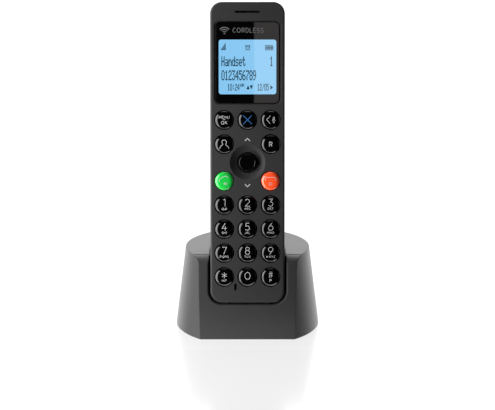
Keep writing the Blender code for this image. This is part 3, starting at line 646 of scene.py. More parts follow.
LETTER_PITCH, LETTER_ROWS = 6, 7  # in dots: five and a gap across, seven high
DOT_JOIN, DOT_HEIGHT = 0.55, 0.93  # how far a dot runs on into the next cell, and its share of its own
INK_TOP = panel_low.y - 0.06 * MM
INK_LOW = panel_low.y - 0.01 * MM


def tile(bm, left, right, low, high):
    """Adds a thin rectangular tile."""
    corners = ((left, low), (right, low), (right, high), (left, high))
    skin(bm, [[bm.verts.new((x, y, z)) for x, z in corners] for y in (INK_TOP, INK_LOW)])


def words(bm, text, left, low, dot):
    """Adds dot-matrix words. dot is the (width, height) of a cell. Dots in a row are one tile."""
    for index, letter in enumerate(text):
        for row, bits in enumerate(LETTERS[letter].split()):
            z = low + (LETTER_ROWS - 1 - row) * dot[1]
            for run in re.finditer("1+", bits):
                first = left + (index * LETTER_PITCH + run.start()) * dot[0]
                last = left + (index * LETTER_PITCH + run.end() + DOT_JOIN) * dot[0]
                tile(bm, first, last, z, z + dot[1] * DOT_HEIGHT)


def wedge(bm, x, z, width, height, turn):
    """Adds a flat triangle, pointing up at turn 0."""
    corners = [(-width / 2, -height / 2), (width / 2, -height / 2), (0.0, height / 2)]
    c, s = math.cos(turn), math.sin(turn)
    flat = [(x + a * c - b * s, z + a * s + b * c) for a, b in corners]
    skin(bm, [[bm.verts.new((px, y, pz)) for px, pz in flat] for y in (INK_TOP, INK_LOW)])


def ring_tile(bm, x, z, outer, width, sides=24):
    """Adds a flat ring of ink."""
    inner_radius = outer - width
    loops = []
    for y, radius in ((INK_TOP, outer), (INK_TOP, inner_radius), (INK_LOW, inner_radius), (INK_LOW, outer)):
        spots = [(x + radius * math.cos(t), y, z + radius * math.sin(t)) for t in full_turn(sides)]
        loops.append([bm.verts.new(spot) for spot in spots])
    for loop, following in zip(loops, loops[1:] + loops[:1]):
        band(bm, loop, following)


print("letters of the matrix:", len(LETTERS))

# %% Set the display's words
left_edge, right_edge = LCD_X
base_line = LCD_Z[0]
margin = left_edge + 1.5 * MM
name_row, number_row, time_row = (base_line + height * MM for height in (16.1, 8.0, 2.1))
NAME_DOT, NUMBER_DOT = (0.335 * MM, 0.80 * MM), (0.335 * MM, 0.82 * MM)
ink = bmesh.new()
words(ink, "Handset", margin, name_row, NAME_DOT)
words(ink, "1", right_edge - 3.7 * MM, name_row, NAME_DOT)
words(ink, "0123456789", margin, number_row, NUMBER_DOT)
words(ink, "10:24", left_edge + 5.0 * MM, time_row, (0.235 * MM, 0.56 * MM))
words(ink, "AM", left_edge + 12.3 * MM, base_line + 4.2 * MM, (0.2 * MM, 0.27 * MM))
words(ink, "12/05", right_edge - 10.9 * MM, time_row, (0.225 * MM, 0.56 * MM))
wedge(ink, left_edge + 16.8 * MM, base_line + 4.0 * MM, 1.9 * MM, 2.3 * MM, 0.0)
wedge(ink, left_edge + 18.7 * MM, base_line + 4.0 * MM, 1.9 * MM, 2.3 * MM, math.pi)
wedge(ink, right_edge - 2.6 * MM, base_line + 3.9 * MM, 2.6 * MM, 1.5 * MM, -math.pi / 2)
print("words set:", len(ink.faces), "faces")

# %% Set the display's symbols
symbols = base_line + 25.2 * MM
for bar in range(4):  # signal strength
    x = left_edge + (1.5 + 0.65 * bar) * MM
    tile(ink, x, x + 0.5 * MM, symbols, symbols + (1.1 + 0.95 * bar) * MM)
battery = right_edge - 6.3 * MM
for x in (-0.1, 4.0):  # its two ends, its two sides, its charge and its tip
    tile(ink, battery + x * MM, battery + (x + 0.35) * MM, symbols, symbols + 2.9 * MM)
for z in (0.0, 2.6):
    tile(ink, battery + 0.27 * MM, battery + 3.98 * MM, symbols + z * MM, symbols + (z + 0.36) * MM)
for bar in range(3):
    x = battery + (0.6 + 1.15 * bar) * MM
    tile(ink, x, x + 0.85 * MM, symbols + 0.6 * MM, symbols + 2.3 * MM)
tile(ink, battery + 4.3 * MM, battery + 4.6 * MM, symbols + 0.8 * MM, symbols + 2.1 * MM)
clock_x, clock_z = left_edge + 16.6 * MM, symbols + 1.45 * MM  # an alarm clock with two bells and two feet
ring_tile(ink, clock_x, clock_z, 1.3 * MM, 0.42 * MM)
tile(ink, clock_x - 0.1 * MM, clock_x + 0.1 * MM, clock_z, clock_z + 0.8 * MM)
tile(ink, clock_x + 0.12 * MM, clock_x + 0.65 * MM, clock_z, clock_z + 0.2 * MM)
for side in (-1, 1):
    wedge(ink, clock_x + side * 1.15 * MM, clock_z + 1.25 * MM, 0.9 * MM, 0.7 * MM, -side * 0.7)
    wedge(ink, clock_x + side * 0.95 * MM, clock_z - 1.45 * MM, 0.5 * MM, 0.6 * MM, side * 0.5)
bmesh.ops.recalc_face_normals(ink, faces=ink.faces[:])
LCD_INK = paint("lcd_ink", (0.006, 0.03, 0.05), glow=1.0)
ink_piece = piece("lcd_text", ink, LCD_INK, "handset", weighted=False)
print("display set:", len(ink_piece.data.polygons), "faces")

# %% [markdown]
# ## Legends
# Numbers and symbols are printed on caps that are slightly domed, so a flat decal would sink into them
# or float. An image texture would blur up close, and text objects have the heavy shapes of a printed
# font. So every line, arc and sign is a ribbon along a path, in short steps. Each point keeps its place
# across the key and takes its depth from the dome, and the print bends with the cap.

# %% The cap's dome
INK = 0.05 * MM
CAP = {"radius": 5.3 * MM, "top": -1.2 * MM, "drop": 1.3 * MM, "power": 5.0}


def dome(radius):
    """Depth of a key's cap at this distance from its middle."""
    return CAP["top"] + CAP["drop"] * (radius / CAP["radius"]) ** CAP["power"]


print("a cap falls", CAP["drop"] / MM, "mm from its middle to its edge")

# %% Ribbons and the paths they follow


def ribbon(points, width, closed=False):
    """A bmesh of a printed line along (x, z) points, with its ink between y 0 and y 1."""
    bm = bmesh.new()
    count = len(points)
    spots = [Vector(point) for point in points]
    rings = []
    for index, spot in enumerate(spots):
        came = (spot - spots[index - 1]) if closed or index else (spots[1] - spot)
        goes = (spots[(index + 1) % count] - spot) if closed or index < count - 1 else came
        along = (came.normalized() + goes.normalized()).normalized()
        mitre = max(along.dot(goes.normalized()), 0.6)
        side = Vector((-along.y, along.x)) * (width / 2 / mitre)
        left, right = spot + side, spot - side
        corners = ((left.x, 0, left.y), (right.x, 0, right.y), (right.x, 1, right.y), (left.x, 1, left.y))
        rings.append([bm.verts.new(point) for point in corners])
    for ring, following in zip(rings, rings[1:]):
        band(bm, ring, following)
    if closed:
        band(bm, rings[-1], rings[0])
    else:
        bm.faces.new(rings[0])
        bm.faces.new(rings[-1])
    bmesh.ops.recalc_face_normals(bm, faces=bm.faces[:])
    return bm


def arc(x, z, radius, start, end, steps=16):
    """Points of an arc, in degrees anticlockwise from +x."""
    turns = [math.radians(start + (end - start) * step / steps) for step in range(steps + 1)]
    return [(x + radius * math.cos(t), z + radius * math.sin(t)) for t in turns]


def bow(x, z, width, height, start=0, end=360, steps=20):
    """Points of an upright ellipse's arc, from its half width and half height."""
    return [(x + a * width, z + b * height) for a, b in arc(0, 0, 1, start, end, steps)]


def path(*corners, reach=0.6):
    """Points of a broken line, in steps short enough to lie on a dome."""
    points = [corners[0]]
    for before, after in zip(corners, corners[1:]):
        steps = max(math.ceil(math.dist(before, after) / reach), 1)
        stretch = Vector(after) - Vector(before)
        points += [tuple(Vector(before) + stretch * step / steps) for step in range(1, steps + 1)]
    return points


# %% Bending print onto a surface


def printed(name, shapes, ink_material, body, middle, surface):
    """Bends flat shapes, drawn in millimetres about middle, onto a surface and rides them on a body."""
    bm = carve(shapes[0], [("UNION", shape) for shape in shapes[1:]], merge=1e-5)
    gap = 0.005 * MM  # between the ink's underside and the cap
    for v in bm.verts:
        x, z = v.co.x * MM, v.co.z * MM
        depth = surface(math.hypot(x, z))
        v.co = (middle.x + x, depth - INK + v.co.y * (INK - gap), middle.z + z)
    return piece(name, bm, ink_material, body, weighted=False)


# %% [markdown]
# ## Keys
# A key's cap is a shallow dome that falls away quickly near its edge. A scaled sphere curves evenly and
# would smear every highlight over the whole cap. A fifth power keeps the middle nearly flat, for the
# legend, and rolls over at the edge, where it gathers the light into a crescent. The profile is turned
# about the key's axis, with the flange that holds it behind the cover.

# %% Caps
FLANGE = 6.0 * MM


def cap_profile():
    """The key from the middle of its cap round to the middle of its back, as (radius, depth)."""
    edge = CAP["radius"]
    shares = (0.0, 0.2, 0.35, 0.5, 0.6, 0.68, 0.75, 0.81, 0.86, 0.9, 0.935, 0.965, 0.985)
    top = [(edge * share, dome(edge * share)) for share in shares]
    rim = [(edge * 0.9975, dome(edge) + 0.05 * MM), (edge, dome(edge) + 0.2 * MM)]
    front_of_flange = FRONT_WALL + 0.3 * MM
    back_of_flange = front_of_flange + 0.7 * MM
    flange = [(edge, front_of_flange), (FLANGE, front_of_flange), (FLANGE, back_of_flange)]
    return [*top, *rim, *flange, (0.0, back_of_flange)]


KEY_COLOURS = {"key_call": (KEY_GREEN, "green_key"), "key_end": (KEY_RED, "red_key")}
for name, middle in key_middle.items():
    material, slot = KEY_COLOURS.get(name, (KEY_BLACK, "keys"))
    cap = turned(cap_profile(), middle.x, middle.z)
    piece(f"{name}_cap", cap, material, name, [name], crease=50)
print("caps:", len(key_middle))

# %% [markdown]
# The numbers are a light, round drawing with one even stroke, which few fonts have. So each sign is
# given as the lines that a pen would draw, on a grid six wide and ten high, and the pen is a ribbon.
# Strokes that cross are united, so that the print is one clean skin.

# %% An even-stroked alphabet
STEM = [(-2.4, -5), (-2.4, 5), (0.3, 5)]
PEN = {
    "A": [[(-3, -5), (0, 5), (3, -5)], [(-1.9, -1.6), (1.9, -1.6)]],
    "B": [STEM + bow(0.3, 2.6, 2.2, 2.4, 90, -90),
          [(-2.4, -5), (0.4, -5), *bow(0.4, -2.4, 2.6, 2.6, -90, 90), (-2.4, 0.2)]],
    "C": [bow(0.4, 0, 3.4, 5, 48, 312)],
    "D": [[(-2.6, -5), (-2.6, 5), (-0.4, 5), *bow(-0.4, 0, 3.3, 5, 90, -90), (-2.6, -5)]],
    "E": [[(2.4, 5), (-2.3, 5), (-2.3, -5), (2.4, -5)], [(-2.3, 0.2), (2, 0.2)]],
    "F": [[(2.4, 5), (-2.3, 5), (-2.3, -5)], [(-2.3, 0.1), (1.9, 0.1)]],
    "G": [bow(0.3, 0, 3.3, 5, 50, 335) + [(3.4, -0.4), (0.8, -0.4)]],
    "H": [[(-2.7, 5), (-2.7, -5)], [(2.7, 5), (2.7, -5)], [(-2.7, 0), (2.7, 0)]],
    "I": [[(0, 5), (0, -5)]],
    "J": [[(1.6, 5), *bow(-0.6, -2.6, 2.2, 2.4, 0, -150)]],
    "K": [[(-2.4, 5), (-2.4, -5)], [(2.6, 5), (-2.4, -0.8)], [(-0.5, 1.2), (2.8, -5)]],
    "L": [[(-2, 5), (-2, -5), (2.4, -5)]],
    "M": [[(-3.3, -5), (-3.3, 5), (0, -1), (3.3, 5), (3.3, -5)]],
    "N": [[(-2.7, -5), (-2.7, 5), (2.7, -5), (2.7, 5)]],
    "O": [bow(0, 0, 3.7, 5)],
    "P": [STEM + bow(0.3, 2.3, 2.5, 2.7, 90, -90) + [(-2.4, -0.4)]],
    "Q": [bow(0, 0, 3.7, 5), [(0.8, -2), (3.3, -5.3)]],
    "R": [STEM + bow(0.3, 2.3, 2.5, 2.7, 90, -90) + [(-2.4, -0.4)], [(0.4, -0.4), (2.8, -5)]],
    "S": [bow(0, 2.45, 2.6, 2.55, 40, 270, 12) + bow(0, -2.5, 2.8, 2.5, 90, -140, 12)],
    "T": [[(-2.9, 5), (2.9, 5)], [(0, 5), (0, -5)]],
    "U": [[(-2.7, 5), *bow(0, -2, 2.7, 3, 180, 360), (2.7, 5)]],
    "V": [[(-3, 5), (0, -5), (3, 5)]],
    "W": [[(-4.2, 5), (-2.1, -5), (0, 4), (2.1, -5), (4.2, 5)]],
    "X": [[(-2.7, 5), (2.7, -5)], [(2.7, 5), (-2.7, -5)]],
    "Y": [[(-2.8, 5), (0, 0.3), (2.8, 5)], [(0, 0.3), (0, -5)]],
    "Z": [[(-2.5, 5), (2.5, 5), (-2.6, -5), (2.7, -5)]],
    "0": [bow(0, 0, 3.6, 5)],
    "1": [[(-1.5, 3.7), (0.6, 5), (0.6, -5)]],
    "2": [bow(0, 2.1, 2.9, 2.9, 168, -38) + [(-3, -5), (3.2, -5)]],
    "3": [[(-2.6, 5), (2.6, 5), (-0.6, 1.1), *bow(-0.2, -1.95, 3.1, 3.05, 82, -152)]],
    "4": [[(3.3, -2.3), (-3.3, -2.3), (1.3, 5)], [(1.3, 0.6), (1.3, -5)]],
    "5": [[(2.4, 5), (-1.9, 5), (-2.3, 0.5), *bow(-0.1, -1.85, 3, 3.15, 120, -148)]],
    "6": [bow(0, -1.9, 3.1, 3.1), [(1.7, 5), (-2.6, -0.2)]],
    "7": [[(-2.9, 5), (3, 5), (-0.9, -5)]],
    "8": [bow(0, 2.65, 2.45, 2.35), bow(0, -2.35, 3.0, 2.65)],
    "9": [bow(0, 1.9, 3.1, 3.1), [(2.6, 0.2), (-1.7, -5)]],
    "#": [[(-0.5, 5), (-2, -5)], [(2, 5), (0.5, -5)], [(-3, 1.8), (3.3, 1.8)], [(-3.3, -1.9), (3, -1.9)]],
}


print("signs of the alphabet:", len(PEN))

# %% Setting words in it


def lettering(text, height, x, z, stroke, wide=1.0, gap=2.3):
    """Ribbons of a word, centred on (x, z), all in millimetres."""
    unit = height / 10
    signs, cursor = [], 0.0
    for sign in text:
        across = [point[0] for line in PEN[sign] for point in line]
        signs.append((sign, cursor - min(across)))
        cursor += max(across) - min(across) + gap
    shift = -(cursor - gap) / 2
    ribbons = []
    for sign, start in signs:
        for line in PEN[sign]:
            spots = [(x + (a + start + shift) * unit * wide, z + b * unit) for a, b in line]
            loop = math.dist(line[0], line[-1]) < 0.01
            ribbons.append(ribbon(path(*spots)[:-1] if loop else path(*spots), stroke, closed=loop))
    return ribbons


# %% [markdown]
# The twelve dialling keys carry a number and its letters. The other keys carry the words and simple
# signs that any phone has: the menu's two words, R for recall, a person for contacts, an arrow back, a
# cross, a lifted and a resting receiver. Each sign is drawn in millimetres about its key's middle.

# %% Legends of the dialling keys
DIAL = {
    "key_1": ("1", None), "key_2": ("2", "ABC"), "key_3": ("3", "DEF"), "key_4": ("4", "GHI"),
    "key_5": ("5", "JKL"), "key_6": ("6", "MNO"), "key_7": ("7", "PQRS"), "key_8": ("8", "TUV"),
    "key_9": ("9", "WXYZ"), "key_star": (None, "INT"), "key_0": ("0", None), "key_hash": ("#", "P"),
}
LINE = 0.31
NUMBER_Z, ZERO_Z, CAPTION_Z = 1.5, 0.85, -1.95
for name, (digit, caption) in DIAL.items():
    raised = ZERO_Z if name == "key_0" else NUMBER_Z
    shapes = []
    if digit:
        height, stroke = (3.5, 0.26) if digit == "#" else (4.1, LINE)
        shapes += lettering(digit, height, 0.0, raised, stroke, wide=1.02)
    if caption:
        height, stroke = (1.6, 0.26) if caption == "P" else (1.15, 0.18)
        shapes += lettering(caption, height, 0.0, CAPTION_Z, stroke, wide=1.3, gap=3.2)
    if name == "key_star":
        for turn in (90, 30, -30):
            reach = Vector((math.cos(math.radians(turn)), math.sin(math.radians(turn)))) * 1.65
            shapes.append(ribbon(path((-reach.x, 1.15 - reach.y), (reach.x, 1.15 + reach.y)), 0.3))
    if name == "key_1":  # a tape reel for messages
        for side in (-1, 1):
            shapes.append(ribbon(arc(side * 0.9, -2.1, 0.48, 0, 345, 20), 0.24, closed=True))
        shapes.append(ribbon(path((-0.95, -2.6), (0.95, -2.6)), 0.24))
    printed(f"{name}_legend", shapes, WHITE_INK, name, key_middle[name], dome)
print("dialling keys printed:", len(DIAL))

# %% Outlines of a person and of two receivers
head = arc(0, 1.15, 1.3, -50, 230, 22)
left_side = [(-0.84, 0.15), (-0.9, -0.25), (-1.3, -0.65), (-2.0, -1.1), (-2.4, -1.75), (-2.55, -2.6)]
right_side = [(-x, z) for x, z in left_side]
lifted = [(-2.85, -0.4), (-2.85, 0.75), (-2.5, 1.4), (-1.8, 1.85)]
lifted += [(0.5, 2.8), (1.15, 2.85), (1.75, 2.55), (2.4, 1.7)]
resting = [(-3.0, 0.4), (-3.0, 1.4), (-2.8, 1.9), (-2.3, 2.15)]
resting += [(-x, z) for x, z in reversed(resting)]
print("receiver:", len(lifted), "and", len(resting), "points")

# %% Legends of the other keys
SIGNS = {
    "key_menu": lettering("MENU", 1.5, 0, 1.6, 0.2, wide=1.25, gap=3.2)
    + lettering("OK", 1.9, 0, -1.6, 0.23, wide=1.1, gap=3.0)
    + [ribbon(path((-0.6, 0.15), (0.6, 0.15)), 0.3)],
    "key_back": [ribbon(path((-0.35, 2.3), (-2.45, 0.15), (-0.35, -2.0)), LINE),
                 ribbon(bow(1.7, 0.75, 0.45, 0.85)[:-1], 0.3, closed=True),
                 ribbon(bow(1.7, 0.3, 0.95, 1.1, 195, 345, 10), 0.2),
                 ribbon(path((1.7, -0.85), (1.7, -1.5)), 0.22),
                 ribbon(path((1.1, -1.5), (2.3, -1.5)), 0.22)],
    "key_contacts": [ribbon(head, LINE), ribbon(path(*left_side), LINE),
                     ribbon(path(*right_side), LINE)],
    "key_recall": lettering("R", 2.6, 0, 0.0, 0.36, wide=1.1),
    "key_call": [ribbon(path(*lifted), LINE),
                 ribbon(arc(0.7, -1.45, 0.45, 0, 340, 16), 0.26, closed=True),
                 ribbon(arc(0.7, -1.45, 0.95, -50, 50, 8), 0.2),
                 ribbon(arc(0.7, -1.45, 0.95, 130, 230, 8), 0.2)],
    "key_end": [ribbon(path(*resting), LINE),
                ribbon(arc(-0.1, -1.5, 0.8, 120, 420, 18), 0.26),
                ribbon(path((-0.1, -1.4), (-0.1, -0.55)), 0.24)],
}
for name, shapes in SIGNS.items():
    printed(f"{name}_legend", shapes, WHITE_INK, name, key_middle[name], dome)
cross = [ribbon(path((-2.5, 0.1 - 2.5 * s), (2.5, 0.1 + 2.5 * s), reach=0.4), 0.38) for s in (-1, 1)]
printed("key_cancel_legend", cross, BLUE_INK, "key_cancel", key_middle["key_cancel"], dome)
print("legends:", len(DIAL) + len(SIGNS) + 1)

# %% [markdown]
# The five carries a small bump on its lower edge, so that a thumb finds it in the dark. Two chevrons
# above and below the dish are printed on the cover itself, and a plain word sits on the lens.

# %% Bump, chevrons and the lens's print
five = key_middle["key_5"]
BUMP_DOWN, BUMP_HALF = 4.25 * MM, (0.75 * MM, 0.3 * MM)
bump_z = five.z - BUMP_DOWN
bump_top = dome(BUMP_DOWN)
bump_layers = [(bump_top - 0.22 * MM, 0.24 * MM), (bump_top - 0.14 * MM, 0.1 * MM)]
bump_layers += [(bump_top, 0.0), (bump_top + 0.3 * MM, 0.0)]
bump_shape = rectangle((five.x - BUMP_HALF[0], five.x + BUMP_HALF[0]),
                       (bump_z - BUMP_HALF[1], bump_z + BUMP_HALF[1]), BUMP_HALF[1])
piece("key_5_bump", stack(bump_shape, bump_layers), KEY_BLACK, "key_5")


def cover_face(_radius):
    """The cover's face is flat, and the handset's frame starts on it."""
    return 0.0


for label, side in (("up", 1), ("down", -1)):
    middle = Vector((knob_middle.x, 0, knob_middle.z + side * 13.2 * MM))
    chevron = path((-1.5, -0.75 * side), (0.0, 0.7 * side), (1.5, -0.75 * side))
    printed(f"chevron_{label}", [ribbon(chevron, 0.5)], WHITE_INK, "handset", middle, cover_face)


def lens_face(_radius):
    """The lens is flat too, a little below the cover's face."""
    return lens_low.y


mark = Vector((0, 0, LCD_Z[1] + 5.3 * MM))
word = lettering("CORDLESS", 2.5, 0.4, 0.0, 0.36, wide=1.06, gap=3.2)
printed("lens_word", word, GREY_INK, "handset", mark, lens_face)
WAVES_X = -13.2
waves = [ribbon(arc(WAVES_X, -1.9, 1.3 + 1.15 * step, 42, 138, 14), 0.5) for step in range(3)]
dot = ribbon(arc(WAVES_X, -1.75, 0.24, 0, 345, 16), 0.44, closed=True)
printed("lens_waves", [*waves, dot], GREY_INK, "handset", mark, lens_face)
print("printed on the lens at height", round(mark.z / MM, 1), "mm")

# %% [markdown]
# ## The navigation knob
# The knob is a flat black button with a fine rounded lip, standing in the middle of its dish. Turning a
# profile gives the lip, the skirt that stays under the cover and the stem that rocks on the switch.

# %% Knob
knob_low, knob_high = seat("nav_knob")
SUNK = 0.45 * MM  # the button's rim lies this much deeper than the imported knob's
top = knob_low.y + SUNK
knob_profile = [
    (0.0, top + 0.3 * MM), (3.9 * MM, top + 0.24 * MM), (4.2 * MM, top + 0.14 * MM),
    (4.38 * MM, top + 0.03 * MM), (4.5 * MM, top), (4.66 * MM, top + 0.05 * MM),
    (4.78 * MM, top + 0.18 * MM), (4.84 * MM, top + 0.4 * MM), (4.95 * MM, top + 1.6 * MM),
    (5.2 * MM, top + 2.6 * MM), (6.0 * MM, top + 3.6 * MM), (6.0 * MM, knob_high.y - 3.1 * MM),
    (1.6 * MM, knob_high.y - 2.9 * MM), (1.6 * MM, knob_high.y - 0.3 * MM), (0.0, knob_high.y),
]
piece("nav_knob_button", turned(knob_profile, 0, knob_middle.z, 96), KEY_BLACK, "nav_knob",
      ["nav_knob"], crease=45)
print("knob depth", round(top / MM, 2), "to", round(knob_high.y / MM, 2))

# %% [markdown]
# ## The rear cover and the battery door
# Behind, the case has a large round rim that fits the hand, slots over the loudspeaker, and a door that
# closes flush over two cells. A plain block with the door drawn on would do while it stays shut. But the
# door opens, so it is a plate of its own in a recess, and behind it is a real bay with walls and screws.

# %% Rear cover: the shell
rear_low, rear_high = seat("rear_cover")
back = rear_high.y
REAR_ROUND = 4.5 * MM
door_low, door_high = seat("battery_door")
door_z = (door_low.z, door_high.z)
door_outline = rectangle((door_low.x, door_high.x), door_z, 3.0 * MM)
DOOR_THICKNESS = 1.5 * MM
door_seat = back - DOOR_THICKNESS - 0.3 * MM
BAY_X, BAY_Z, BAY_FLOOR = 12.1 * MM, (44.2 * MM, 93.2 * MM), 9.2 * MM
inner_back = back - CASE_WALL
PARTING_LINE = 0.12 * MM
parting = [(rear_low.y, PARTING_LINE), (rear_low.y + PARTING_LINE, 0.0)]
shell = stack(case_outline, parting + rear_rim(back, REAR_ROUND, 10))
hollow = stack(inner, [(rear_low.y - 1 * MM, 0)] + rear_rim(inner_back, REAR_ROUND - CASE_WALL, 4))
BAY_WALL = 1.2 * MM
bay_walls = block((-BAY_X - BAY_WALL, BAY_X + BAY_WALL), (BAY_FLOOR - 0.7 * MM, inner_back + 0.4 * MM),
                  (BAY_Z[0] - BAY_WALL, BAY_Z[1] + BAY_WALL))
seat_walls = block((-17.6 * MM, 17.6 * MM), (door_seat - 1.6 * MM, inner_back + 0.5 * MM),
                   (door_z[0] - 1.4 * MM, door_z[1] + 1.4 * MM))
print("case is", round(back / MM, 1), "mm deep, door", [round(z / MM, 1) for z in door_z])

# %% Rear cover: screws and charging pads
BEYOND = 24 * MM  # a depth behind the whole case, where cutting tools end
SLACK = 0.3 * MM
screw_low, screw_high = seat("case_screw_right")
screw_x, screw_z = (screw_low.x + screw_high.x) / 2, (screw_low.z + screw_high.z) / 2
pad_low, pad_high = seat("charge_pad_right")


def screw_rods(radius, low, high, sides=32):
    """One bmesh: a rod on each screw's axis, between two depths."""
    return together([stack(circle(radius, side * screw_x, screw_z, sides), [(low, 0), (high, 0)])
                     for side in (-1, 1)])


posts = screw_rods(2.6 * MM, 8.5 * MM, door_seat - 1 * MM)
bores = screw_rods(1.2 * MM, 7 * MM, BEYOND, 24)
heads = screw_rods(2.1 * MM, door_seat - 1.4 * MM, BEYOND)
pads = [block(sorted((side * (pad_low.x - SLACK), side * (pad_high.x + SLACK))),
              (pad_low.y - SLACK, pad_high.y + SLACK), (-1 * MM, 3 * MM)) for side in (-1, 1)]
print("screws at", round(screw_x / MM, 1), round(screw_z / MM, 1))

# %% Rear cover: slots over the loudspeaker
SLOT_PITCH, SLOT_HALF, SLOT_CIRCLE = 2.8 * MM, 0.6 * MM, 9 * MM
slots = []
speaker_z = sum(limit.z for limit in seat("loudspeaker")) / 2
slot_lip = [(2 * back - y, inset) for y, inset in reversed(flare(back, 0.3 * MM, 4))]
for row in range(-2, 3):
    z = speaker_z + row * SLOT_PITCH
    half = math.sqrt(SLOT_CIRCLE**2 - (z - speaker_z) ** 2) - 1 * MM
    slot_shape = rectangle((-half, half), (z - SLOT_HALF, z + SLOT_HALF), 0.59 * MM, 6)
    slots.append(stack(slot_shape, [(back - 3 * MM, 0.0)] + slot_lip))
print("slots:", len(slots))

# %% Rear cover: cut it
door_recess = [(door_seat, -SLACK), (back - 0.25 * MM, -SLACK), (back, -0.5 * MM), (BEYOND, -0.5 * MM)]
hook_gap = block((-9 * MM, 9 * MM), (door_seat - 3 * MM, BEYOND), (door_z[0], BAY_Z[0] + 1 * MM))
steps = [
    ("DIFFERENCE", hollow),
    ("UNION", bay_walls),
    ("UNION", seat_walls),
    ("UNION", posts),
    ("DIFFERENCE", bores),
    ("DIFFERENCE", heads),
    ("DIFFERENCE", together(pads)),
    ("DIFFERENCE", block((-BAY_X, BAY_X), (BAY_FLOOR, BEYOND), BAY_Z)),
    ("DIFFERENCE", stack(door_outline, door_recess)),
    ("DIFFERENCE", hook_gap),
    ("DIFFERENCE", together(slots)),
]
rear = piece("rear_cover_moulding", carve(shell, steps), CASE, "handset", ["rear_cover"])
print("rear cover:", len(rear.data.polygons), "faces")

# %% Battery door
plate = stack(door_outline, [(back - DOOR_THICKNESS, 0.0)] + rear_rim(back, 0.3 * MM, 4))
hooks = [block((x - 2 * MM, x + 2 * MM), (back - 2.6 * MM, back - DOOR_THICKNESS + 0.3 * MM),
               (door_z[0] + 0.5 * MM, door_z[0] + 2 * MM)) for x in (-6 * MM, 6 * MM)]
nail = rectangle((-5 * MM, 5 * MM), (door_z[1] - 8 * MM, door_z[1] - 3.5 * MM), 2.2 * MM)
nail_cut = [(back - 0.7 * MM, 1.0 * MM), (back - 0.55 * MM, 0.45 * MM), (back - 0.25 * MM, 0.1 * MM),
            (back, -0.1 * MM), (back + 1 * MM, -0.2 * MM)]
ridge_layers = [(back - 0.9 * MM, 0.0), (back - 0.42 * MM, 0.0), (back - 0.32 * MM, 0.1 * MM)]
ridges = []
for row in (-1, 0, 1):
    half = 3.2 * MM - 0.4 * abs(row) * MM
    z = door_z[1] - 5.75 * MM + row * 0.9 * MM
    ridge = rectangle((-half, half), (z - 0.18 * MM, z + 0.18 * MM), 0.17 * MM, 4)
    ridges.append(stack(ridge, ridge_layers))
steps = [("UNION", together(hooks)), ("DIFFERENCE", stack(nail, nail_cut)), ("UNION", together(ridges))]
door = piece("battery_door_moulding", carve(plate, steps), CASE, "battery_door", ["battery_door"])
print("door:", len(door.data.polygons), "faces")

# %% [markdown]
# ## The base
# The base is a cone whose front has been sliced off along the handset's lean, with a generous round from
# that flat face into the top. Slicing a cone with a Boolean leaves a razor edge that no bevel handles
# well, because the cone's facets cross it at a shallow angle. So the base is lofted: at each height its
# outline is a circle cut by a straight line, with a small fillet where they meet, and the heights follow
# the round. Every edge comes out soft and the faces run in clean rows.

# %% The base's form
shell_low, shell_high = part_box("base_shell")
BOTTOM_RADIUS = (shell_high.x - shell_low.x) / 2
TOP = shell_high.z
STAND = shell_low.z
CONE_Y = shell_high.y - BOTTOM_RADIUS
shell_points = [v.co for v in frame["nodes"]["base_shell"].data.vertices]
TOP_RADIUS = max(abs(p.x) for p in shell_points if p.z > TOP - 0.01 * MM)
FRONT_BOTTOM = CONE_Y - shell_low.y
SLOPE = (BOTTOM_RADIUS - TOP_RADIUS) / (TOP - STAND)
print("cone", round(BOTTOM_RADIUS / MM, 1), round(TOP_RADIUS / MM, 1), "front", round(FRONT_BOTTOM / MM, 1))

# %% One outline of it


def cut_circle(radius, front, fillet, arc_steps=120, chord_steps=24, fillet_steps=5):
    """A circle of this radius, cut off at this distance in front of its middle, with round corners."""
    inner_front = front - fillet
    middle_x = math.sqrt((radius - fillet) ** 2 - inner_front**2)
    turn = math.atan2(middle_x, inner_front)
    right = [(middle_x * step / chord_steps, -front) for step in range(chord_steps)]
    for step in range(fillet_steps):
        t = turn * step / fillet_steps
        right.append((middle_x + fillet * math.sin(t), -inner_front - fillet * math.cos(t)))
    for step in range(arc_steps // 2 + 1):
        t = turn + (math.pi - turn) * step / (arc_steps // 2)
        right.append((radius * math.sin(t), -radius * math.cos(t)))
    return right + [(-x, y) for x, y in reversed(right[1:-1])]


# %% Loft the outlines


